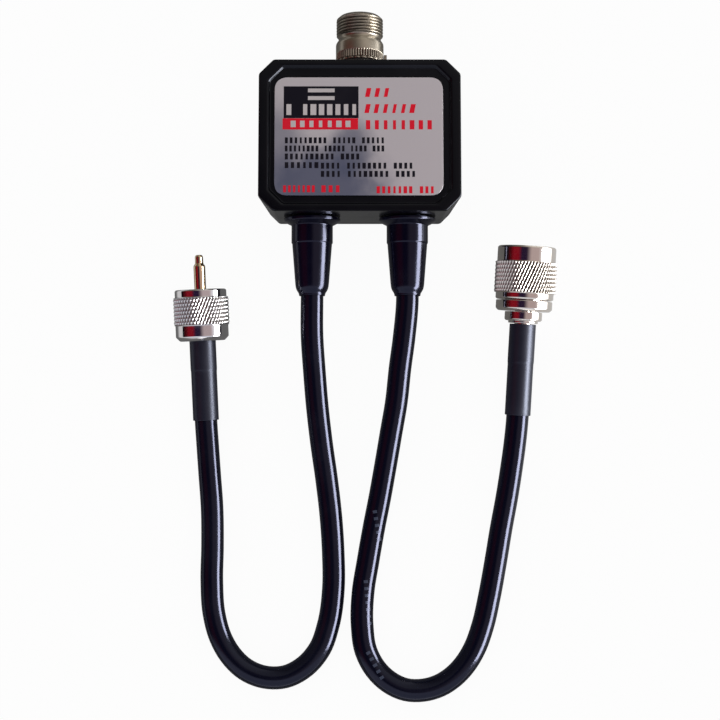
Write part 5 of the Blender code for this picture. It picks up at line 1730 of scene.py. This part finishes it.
@dataclass(frozen=True)
class UhfPlug:
    """The UHF plug: a knurled coupling ring that turns on a body with a gold pin.

    Sizes are in mm, from the plug's axis and along it. Pairs are a start and an end.
    """

    ring_length: float = 17.35
    knurl: tuple[float, float] = (5.45, 14.6)
    knurl_radius: float = 9.4
    rear_radius: float = 8.9
    front_radius: float = 8.7
    bore: float = 7.55
    web: float = 4.2
    web_bore: float = 5.9
    spigot: tuple[Corner, ...] = ((2.9, -8.8), (2.9, 0.6), (5.6, 0.6), (5.6, 4.5))
    shoulder: tuple[Corner, ...] = ((7.2, 4.5), (7.2, 6.3))
    hole: tuple[Corner, ...] = ((1.7, 2.5), (1.7, -8.8))
    barrel: float = 5.9
    barrel_end: float = 14.5
    barrel_bore: float = 4.95
    notch: tuple[float, float, float] = (14.4, 1.6, 2.6)
    bead_start: float = 2.8
    clearance: float = 0.2
    pin_radius: float = 1.975
    tip_radius: float = 1.35
    pin_end: float = 29.05

    def ring(self) -> bpy.types.Object:
        """Turn the coupling ring with its knurl and its inner thread.

        Returns:
            The piece.
        """
        low, high = self.knurl
        length, bore, front = self.ring_length, self.bore, self.front_radius
        outline = [
            (7.5, 0.0, 0.3), (self.rear_radius, 1.4, 0.3), (self.rear_radius, low - 0.2, 0.12),
            (self.knurl_radius, low, 0.2), (self.knurl_radius, high, 0.2), (front, high + 0.2, 0.12),
            (front, length - 0.4, 0.25), (front - 0.4, length, 0.2), (bore + 0.35, length, 0.1),
            (bore, length - 0.4, 0.1), (bore, self.web, 0.2), (self.web_bore, self.web),
            (self.web_bore, 0.0),
        ]
        knurl = Relief(
            radius=self.knurl_radius, low=low - 0.1, high=high + 0.1, depth=0.56, starts=50, rate=0.40,
            crossing=0.6, crest=1.0, fade=0.25, spacing=0.15,
        )
        thread = inner_thread(bore, self.web + 0.6, length - 0.5)
        ring = turned("uhf_ring", outline, UHF_NICKEL, 400, reliefs=[knurl, thread])
        return deliver(ring, UHF_NICKEL, ["uhf_coupling_ring"], UHF_PLACE, Body.UHF_RING, crease=60.0)

    def core(self) -> list[bpy.types.Object]:
        """Turn the body with its notches, the insulator and the pin.

        Returns:
            The pieces.
        """
        body_outline = [
            *self.spigot, *self.shoulder, (self.barrel, self.shoulder[-1][1]),
            (self.barrel, self.barrel_end), (self.barrel_bore, self.barrel_end),
            (self.barrel_bore, self.hole[0][1]), *self.hole,
        ]
        body = turned("uhf_barrel", body_outline, UHF_NICKEL)
        for turn in (45.0, 135.0):
            carve(body, block(Vector(self.notch), Vector((0.0, 0.0, self.barrel_end)), turn))
        deliver(body, UHF_NICKEL, ["uhf_body"], UHF_PLACE)
        low, high = self.bead_start, self.barrel_end - 1.6
        inner, outer = self.pin_radius + self.clearance, self.barrel_bore - self.clearance
        bead_outline = [
            (inner, low), (outer, low), (outer, high, 0.3), (inner + 1.3, high),
            (inner + 1.0, high - 0.4), (inner, high - 0.4),
        ]
        bead = round_piece("uhf_bead", bead_outline, WHITE_INSULATOR, "uhf_insulator", UHF_PLACE)
        end = self.pin_end
        pin_outline = [
            (0.0, low), (self.pin_radius, low), (self.pin_radius, end - 3.75, 0.3),
            (self.tip_radius + 0.05, end - 3.0, 0.3), (self.tip_radius, end - 0.5, 0.45),
            (self.tip_radius - 0.45, end, 0.3), (0.0, end - 0.05),
        ]
        pin = round_piece("uhf_centre_pin", pin_outline, UHF_GOLD, "uhf_pin", UHF_PLACE, 64)
        return [body, bead, pin]


@dataclass(frozen=True)
class NPlug:
    """The N plug: a knurled coupling nut that turns on a body with a flange and a clamp nut.

    Sizes are in mm, from the plug's axis and along it. Pairs are a start and an end.
    """

    length: float = 21.8
    nut_start: float = 3.8
    rear_radius: float = 9.75
    knurl: tuple[float, float] = (6.2, 16.4)
    knurl_radius: float = 10.45
    front_radius: float = 9.85
    mouth: float = 8.1
    bore: float = 7.55
    web: float = 3.1
    web_bore: float = 6.7
    spigot: tuple[Corner, ...] = ((2.9, -15.4), (2.9, 0.0))
    flange_radius: float = 9.5
    flange_gap: float = 0.3
    neck: tuple[float, float] = (6.4, 12.0)
    groove: tuple[Corner, ...] = ((6.4, 7.2), (5.9, 7.2), (5.9, 8.1), (6.4, 8.1))
    contact: tuple[float, float] = (4.15, 3.5)
    contact_end: float = 20.4
    hole: tuple[Corner, ...] = ((3.5, 5.0), (1.7, 5.0), (1.7, -15.4))
    slot_size: tuple[float, float, float] = (10.0, 0.35, 6.0)
    slot_middle: float = 2.4
    snap_ring: tuple[Corner, ...] = ((6.1, 7.3), (7.3, 7.3), (7.3, 8.0), (6.1, 8.0))
    gasket: tuple[Corner, ...] = ((4.35, 12.3, 0.4), (6.6, 12.3, 0.4), (6.6, 13.5, 0.4), (4.35, 13.5, 0.4))
    clamp: tuple[Corner, ...] = (
        (3.2, -4.1), (5.0, -4.1, 0.2), (5.0, -3.3), (5.85, -3.3, 0.2), (6.3, -2.85, 0.2),
        (6.3, -0.3, 0.15), (3.2, -0.3),
    )
    bead: tuple[Corner, ...] = (
        (1.2, 5.3), (3.3, 5.3), (3.3, 14.5, 0.3), (1.9, 14.5), (1.7, 14.2), (1.2, 14.2),
    )
    pin: tuple[Corner, ...] = (
        (0.0, 5.3), (1.0, 5.3), (1.0, 14.8), (0.8, 15.0), (0.8, 18.3, 0.4), (0.4, 19.2, 0.2), (0.0, 19.2),
    )

    def nut(self) -> bpy.types.Object:
        """Turn the coupling nut with its knurl and its inner thread.

        Returns:
            The piece.
        """
        low, high = self.knurl
        start, length = self.nut_start, self.length
        web_end = start + self.web
        rear, front, bore = self.rear_radius, self.front_radius, self.bore
        outline = [
            (rear - 0.45, start, 0.25), (rear, start + 0.45, 0.25), (rear, low - 0.22, 0.12),
            (self.knurl_radius, low, 0.2), (self.knurl_radius, high, 0.2), (front, high + 0.22, 0.12),
            (front, length - 0.45, 0.3), (front - 0.45, length, 0.2), (self.mouth, length, 0.15),
            (bore, length - 0.45, 0.1), (bore, web_end, 0.2), (self.web_bore, web_end),
            (self.web_bore, start),
        ]
        knurl = Relief(
            radius=self.knurl_radius, low=low - 0.1, high=high + 0.1, depth=0.62, starts=58, rate=0.37,
            crossing=0.4, crest=1.0, fade=0.25, spacing=0.15,
        )
        thread = inner_thread(bore, web_end + 0.6, length - 0.5)
        nut = turned("n_nut", outline, N_NICKEL, 464, reliefs=[knurl, thread])
        return deliver(nut, N_NICKEL, ["n_coupling_nut"], N_PLACE, Body.N_NUT, crease=60.0)

    def shell(self) -> list[bpy.types.Object]:
        """Turn the body with its slotted contact, the snap ring, the gasket and the clamp nut.

        Returns:
            The pieces.
        """
        flange, flange_end = self.flange_radius, self.nut_start - self.flange_gap
        neck, neck_end = self.neck
        outer, inner = self.contact
        outline = [
            *self.spigot, (flange - 0.8, 0.0, 0.2), (flange, 0.8, 0.3), (flange, flange_end, 0.3),
            (neck, flange_end), *self.groove, (neck, neck_end), (outer, neck_end),
            (outer, self.contact_end, 0.3), (inner, self.contact_end), *self.hole,
        ]
        body = turned("n_shell", outline, N_NICKEL, 128)
        middle = Vector((0.0, 0.0, self.contact_end - self.slot_middle))
        for turn in (0.0, 60.0, 120.0):
            carve(body, block(Vector(self.slot_size), middle, turn))
        deliver(body, N_NICKEL, ["n_body"], N_PLACE)
        ring = round_piece("n_spring", self.snap_ring, SCREW_STEEL, "n_snap_ring", N_PLACE)
        seal = round_piece("n_seal", self.gasket, RED_RUBBER, "n_gasket", N_PLACE)
        clamp = round_piece("n_gland", self.clamp, N_NICKEL, "n_clamp_nut", N_PLACE)
        return [body, ring, seal, clamp]

    def core(self) -> list[bpy.types.Object]:
        """Turn the insulator and the pin.

        Returns:
            The pieces.
        """
        bead = round_piece("n_bead", self.bead, WHITE_INSULATOR, "n_insulator", N_PLACE)
        pin = round_piece("n_centre_pin", self.pin, N_GOLD, "n_pin", N_PLACE, 48)
        return [bead, pin]


@dataclass(frozen=True)
class Inside:
    """The CAD pieces that stay as they are and only get their finish."""

    finishes: tuple[tuple[Finish, tuple[str, ...]], ...] = (
        (SOCKET_NICKEL, ("socket_nut",)),
        (UHF_NICKEL, ("uhf_ferrule",)),
        (N_NICKEL, ("n_ferrule",)),
        (BOARD, ("circuit_board",)),
        (SCREW_STEEL, ("board_screw_1", "board_screw_2")),
        (TIN, ("shield_partition", "low_band_clamp", "high_band_clamp")),
        (COPPER, ("antenna_link", "low_band_core", "high_band_core")),
        (COPPER, ("low_pass_coil_1", "low_pass_coil_2", "high_pass_coil")),
        (CERAMIC, ("low_pass_capacitor_1", "low_pass_capacitor_2")),
        (CERAMIC, ("high_pass_capacitor_1", "high_pass_capacitor_2")),
    )

    def dress(self, nodes: Mapping[str, bpy.types.Object]) -> None:
        """Give each kept piece its material.

        Args:
            nodes: the frame's CAD pieces, by name.
        """
        for finish, names in self.finishes:
            for name in names:
                nodes[name].data.materials.clear()
                nodes[name].data.materials.append(finish.material())
                log.info("%s: kept, in %s", name, finish.name)


@dataclass(frozen=True)
class Studio:
    """The camera, the pale floor, the soft light and the room that the metal reflects.

    Sizes are in metres, and the lens and its sensor in mm. Each floor step is a direction, the
    places where it starts and ends and the brightness after it. Each band of a room is the middle
    and half width of the blend into it, in degrees, and its colour.
    """

    look_at: tuple[float, float, float] = (0.00009, -0.0719, 0.010)
    distance: float = 0.6132
    camera_tilt: float = 7.475
    lens: float = 91.07
    sensor: float = 36.0
    floor_size: float = 6.0
    floor_level: float = -0.0002
    paper: Colour = (0.8, 0.8, 0.79)
    floor_white: float = 0.95
    floor_dim: float = 0.12
    floor_steps: tuple[tuple[Way, float, float, float], ...] = (
        (Way.ACROSS, 0.045, 0.065, 0.55),
        (Way.ACROSS, 0.110, 0.150, 3.0),
        (Way.ALONG, -0.21, -0.25, 1.6),
        (Way.ACROSS, -0.074, -0.096, 0.62),
    )
    room_light: float = 0.8
    room: tuple[tuple[float, float, Colour], ...] = (
        (-80.0, 2.0, (0.05, 0.002, 0.004)),
        (-64.0, 10.0, (0.21, 0.004, 0.012)),
        (-31.0, 9.0, (0.018, 0.008, 0.030)),
        (5.0, 12.0, (0.46, 0.37, 0.37)),
        (51.0, 9.0, (0.78, 0.77, 0.80)),
        (75.0, 2.5, (0.10, 0.10, 0.11)),
        (84.0, 3.0, (0.30, 0.30, 0.31)),
    )
    room_start: Colour = (0.004, 0.004, 0.006)
    edges: tuple[tuple[float, float, Colour], ...] = (
        (-0.28, -0.50, (0.72, 0.71, 0.78)),
        (-0.66, -0.80, (0.60, 0.62, 0.70)),
    )
    far: tuple[float, float] = (0.20, 0.33)
    far_room: tuple[tuple[float, float, Colour], ...] = (
        (0.0, 40.0, (0.62, 0.59, 0.54)),
        (62.0, 10.0, (0.22, 0.20, 0.17)),
    )
    far_start: Colour = (0.12, 0.10, 0.08)
    lamp_place: tuple[float, float, float] = (0.36, -0.15, 0.125)
    lamp_size: tuple[float, float] = (0.40, 0.17)
    lamp_power: float = 4.2

    def camera(self) -> None:
        """Set the camera where the photograph was taken from."""
        data = bpy.data.cameras.new("camera")
        data.lens = self.lens
        data.sensor_width = self.sensor
        camera = bpy.data.objects.new("camera", data)
        tilt = math.radians(self.camera_tilt)
        back = Vector((0.0, -math.sin(tilt), math.cos(tilt)))
        camera.location = Vector(self.look_at) + back * self.distance
        camera.rotation_euler = (tilt, 0.0, 0.0)
        bpy.context.collection.objects.link(camera)
        bpy.context.scene.camera = camera

    def floor(self) -> None:
        """Lay the pale floor, which the camera sees as white with a faint shadow."""
        half = self.floor_size / 2
        mesh = bpy.data.meshes.new("floor")
        corners = [(-half, -half), (half, -half), (half, half), (-half, half)]
        mesh.from_pydata([(x, y, self.floor_level) for x, y in corners], [], [(0, 1, 2, 3)])
        floor = put("floor", mesh)
        material = bpy.data.materials.new("pale_floor")
        material.use_nodes = True
        sketch = Sketch(material.node_tree)
        path = sketch.add("ShaderNodeLightPath")
        rays = path.outputs
        mirrored = sketch.math("MAXIMUM", rays["Is Glossy Ray"], rays["Is Transmission Ray"])
        watched = sketch.math("MAXIMUM", rays["Is Camera Ray"], mirrored)
        share = sketch.math("MULTIPLY", watched, self.floor_white)
        places = sketch.parts(sketch.add("ShaderNodeTexCoord").outputs["Object"])
        gleam: Value = self.floor_dim
        for way, start, end, brightness in self.floor_steps:
            gleam = sketch.between(sketch.ramp(places[way.value], start, end), gleam, brightness)
        strength = sketch.between(rays["Is Camera Ray"], gleam, 1.0)
        paper = sketch.add("ShaderNodeBsdfDiffuse", {"Color": (*self.paper, 1.0)})
        white = sketch.add("ShaderNodeEmission", {"Color": (1.0, 1.0, 1.0, 1.0), "Strength": strength})
        mix = sketch.add("ShaderNodeMixShader", {0: share, 1: paper.outputs[0], 2: white.outputs[0]})
        sketch.add("ShaderNodeOutputMaterial", {"Surface": mix.outputs[0]})
        mesh.materials.append(material)

    @staticmethod
    def bands(
        sketch: Sketch, angle: Socket, start: Colour, bands: Sequence[tuple[float, float, Colour]],
    ) -> Socket:
        """Return colours that follow each other as an angle grows.

        Args:
            sketch: the tree to draw in.
            angle: the angle in degrees.
            start: the first colour.
            bands: each next colour, with the middle and half width of the blend into it.

        Returns:
            The colour at the angle.
        """
        colour: Shade = (*start, 1.0)
        for middle, spread, band in bands:
            share = sketch.ramp(angle, middle - spread, middle + spread)
            colour = sketch.blend(share, colour, (*band, 1.0))
        return colour

    def world(self) -> None:
        """Light the scene evenly and give the metal a room to reflect, in bands that run along Y."""
        world = bpy.data.worlds.new("studio")
        bpy.context.scene.world = world
        world.use_nodes = True
        sketch = Sketch(world.node_tree)
        way = sketch.add("ShaderNodeTexCoord").outputs["Generated"]
        x, y, z = sketch.parts(way)
        angle = sketch.math("DEGREES", sketch.math("ARCTAN2", x, z))
        room = self.bands(sketch, angle, self.room_start, self.room)
        far_room = self.bands(sketch, angle, self.far_start, self.far_room)
        colour = sketch.blend(sketch.ramp(y, *self.far), room, far_room)
        for start, end, glow in self.edges:
            colour = sketch.blend(sketch.ramp(y, start, end), colour, (*glow, 1.0))
        path = sketch.add("ShaderNodeLightPath")
        even = (self.room_light, self.room_light, self.room_light, 1.0)
        soft = sketch.blend(path.outputs["Is Glossy Ray"], even, colour)
        seen = sketch.blend(path.outputs["Is Camera Ray"], soft, (1.0, 1.0, 1.0, 1.0))
        backdrop = sketch.add("ShaderNodeBackground", {"Color": seen, "Strength": 1.0})
        sketch.add("ShaderNodeOutputWorld", {"Surface": backdrop.outputs[0]})

    def lamp(self) -> None:
        """Hang a rectangular lamp that faces the middle and is only seen in glossy surfaces."""
        light = bpy.data.lights.new("side_lamp", "AREA")
        light.shape = "RECTANGLE"
        light.size, light.size_y = self.lamp_size
        light.energy = self.lamp_power
        lamp = bpy.data.objects.new("side_lamp", light)
        lamp.location = self.lamp_place
        aim = Vector(self.look_at) - Vector(self.lamp_place)
        lamp.rotation_euler = aim.to_track_quat("-Z", "Y").to_euler()
        lamp.visible_diffuse = False
        bpy.context.collection.objects.link(lamp)

    def build(self) -> None:
        """Build the studio."""
        bpy.context.scene.view_settings.view_transform = "Standard"
        self.camera()
        self.floor()
        self.world()
        self.lamp()


LOW_BAND_ROUTE = (
    (-0.0160, -0.0640, 0.0135), (-0.0152, -0.0760, 0.0121), (-0.0142, -0.0880, 0.0103),
    (-0.0128, -0.1000, 0.0082), (-0.0111, -0.1120, 0.0062), (-0.0097, -0.1240, 0.0048),
    (-0.0089, -0.1360, 0.0040), (-0.0088, -0.1480, 0.00385), (-0.0105, -0.1603, 0.00385),
    (-0.0133, -0.1681, 0.00385), (-0.0181, -0.1738, 0.00385), (-0.0248, -0.1773, 0.00385),
    (-0.0317, -0.1774, 0.00385), (-0.0380, -0.1749, 0.00385), (-0.0430, -0.1702, 0.00385),
    (-0.0464, -0.1644, 0.00385), (-0.0487, -0.1563, 0.00385), (-0.0495, -0.1460, 0.00385),
    (-0.0494, -0.1340, 0.00385), (-0.0497, -0.1210, 0.00385), (-0.0506, -0.1100, 0.00385),
    (-0.0514, -0.1000, 0.0039),
)
HIGH_BAND_ROUTE = (
    (0.0149, -0.0645, 0.0135), (0.0135, -0.0750, 0.0123), (0.0123, -0.0860, 0.0107),
    (0.0105, -0.0965, 0.0089), (0.0087, -0.1070, 0.0070), (0.0068, -0.1176, 0.0054),
    (0.0047, -0.1282, 0.0043), (0.0028, -0.1390, 0.0039), (0.0011, -0.1496, 0.00385),
    (0.0008, -0.1603, 0.00385), (0.0021, -0.1689, 0.00385), (0.0052, -0.1747, 0.00385),
    (0.0097, -0.1790, 0.00385), (0.0152, -0.1815, 0.00385), (0.0211, -0.1817, 0.00385),
    (0.0265, -0.1802, 0.00385), (0.0311, -0.1773, 0.00385), (0.0349, -0.1734, 0.00385),
    (0.0380, -0.1685, 0.00385), (0.0411, -0.1603, 0.00385), (0.0432, -0.1515, 0.00385),
    (0.0456, -0.1390, 0.00385), (0.0475, -0.1282, 0.00385), (0.0496, -0.1174, 0.00385),
    (0.0514, -0.1066, 0.00385), (0.0526, -0.0982, 0.0039),
)

LOW_BAND_LEAD = Lead(
    "low_band_coax", "low_band_cable", boot_place(Side.LEFT), UHF_PLACE, sleeve_end=LOW_SLEEVE_END,
    cable_end=10.0, route=LOW_BAND_ROUTE, length=0.291, far_end="connector", finish=JACKET,
)
HIGH_BAND_LEAD = Lead(
    "high_band_coax", "high_band_cable", boot_place(Side.RIGHT), N_PLACE, sleeve_end=HIGH_SLEEVE_END,
    cable_end=17.5, route=HIGH_BAND_ROUTE, length=0.305, far_end="connector", finish=PRINTED_JACKET,
)
LOW_BAND_SLEEVE = Sleeve(
    "low_band_shrink", "low_band_sleeve", UHF_PLACE, start=-0.3, ferrule_end=9.7, end=LOW_SLEEVE_END,
)
HIGH_BAND_SLEEVE = Sleeve(
    "high_band_shrink", "high_band_sleeve", N_PLACE, start=4.4, ferrule_end=17.2, end=HIGH_SLEEVE_END,
)


def main() -> None:
    """Build the scene round the frame, the camera and the cords first."""
    logging.basicConfig(level=logging.INFO, format="%(message)s")
    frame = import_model()
    Studio().build()

    low_lead, high_lead = LOW_BAND_LEAD.build(), HIGH_BAND_LEAD.build()
    low_boot = StrainRelief("low_band", boot_place(Side.LEFT)).build()
    high_boot = StrainRelief("high_band", boot_place(Side.RIGHT)).build()
    low_sleeve, high_sleeve = LOW_BAND_SLEEVE.build(), HIGH_BAND_SLEEVE.build()
    uhf, n_plug = UhfPlug(), NPlug()
    LOW_BAND_LEAD.declare([low_boot, low_sleeve, "uhf_ferrule", uhf.ring(), *uhf.core()])
    HIGH_BAND_LEAD.declare(
        [high_boot, high_sleeve, "n_ferrule", n_plug.nut(), *n_plug.shell(), *n_plug.core()],
    )

    Housing().build()
    Label().build()
    AntennaSocket().build()
    Inside().dress(frame["nodes"])

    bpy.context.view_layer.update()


if __name__ == "__main__":
    main()
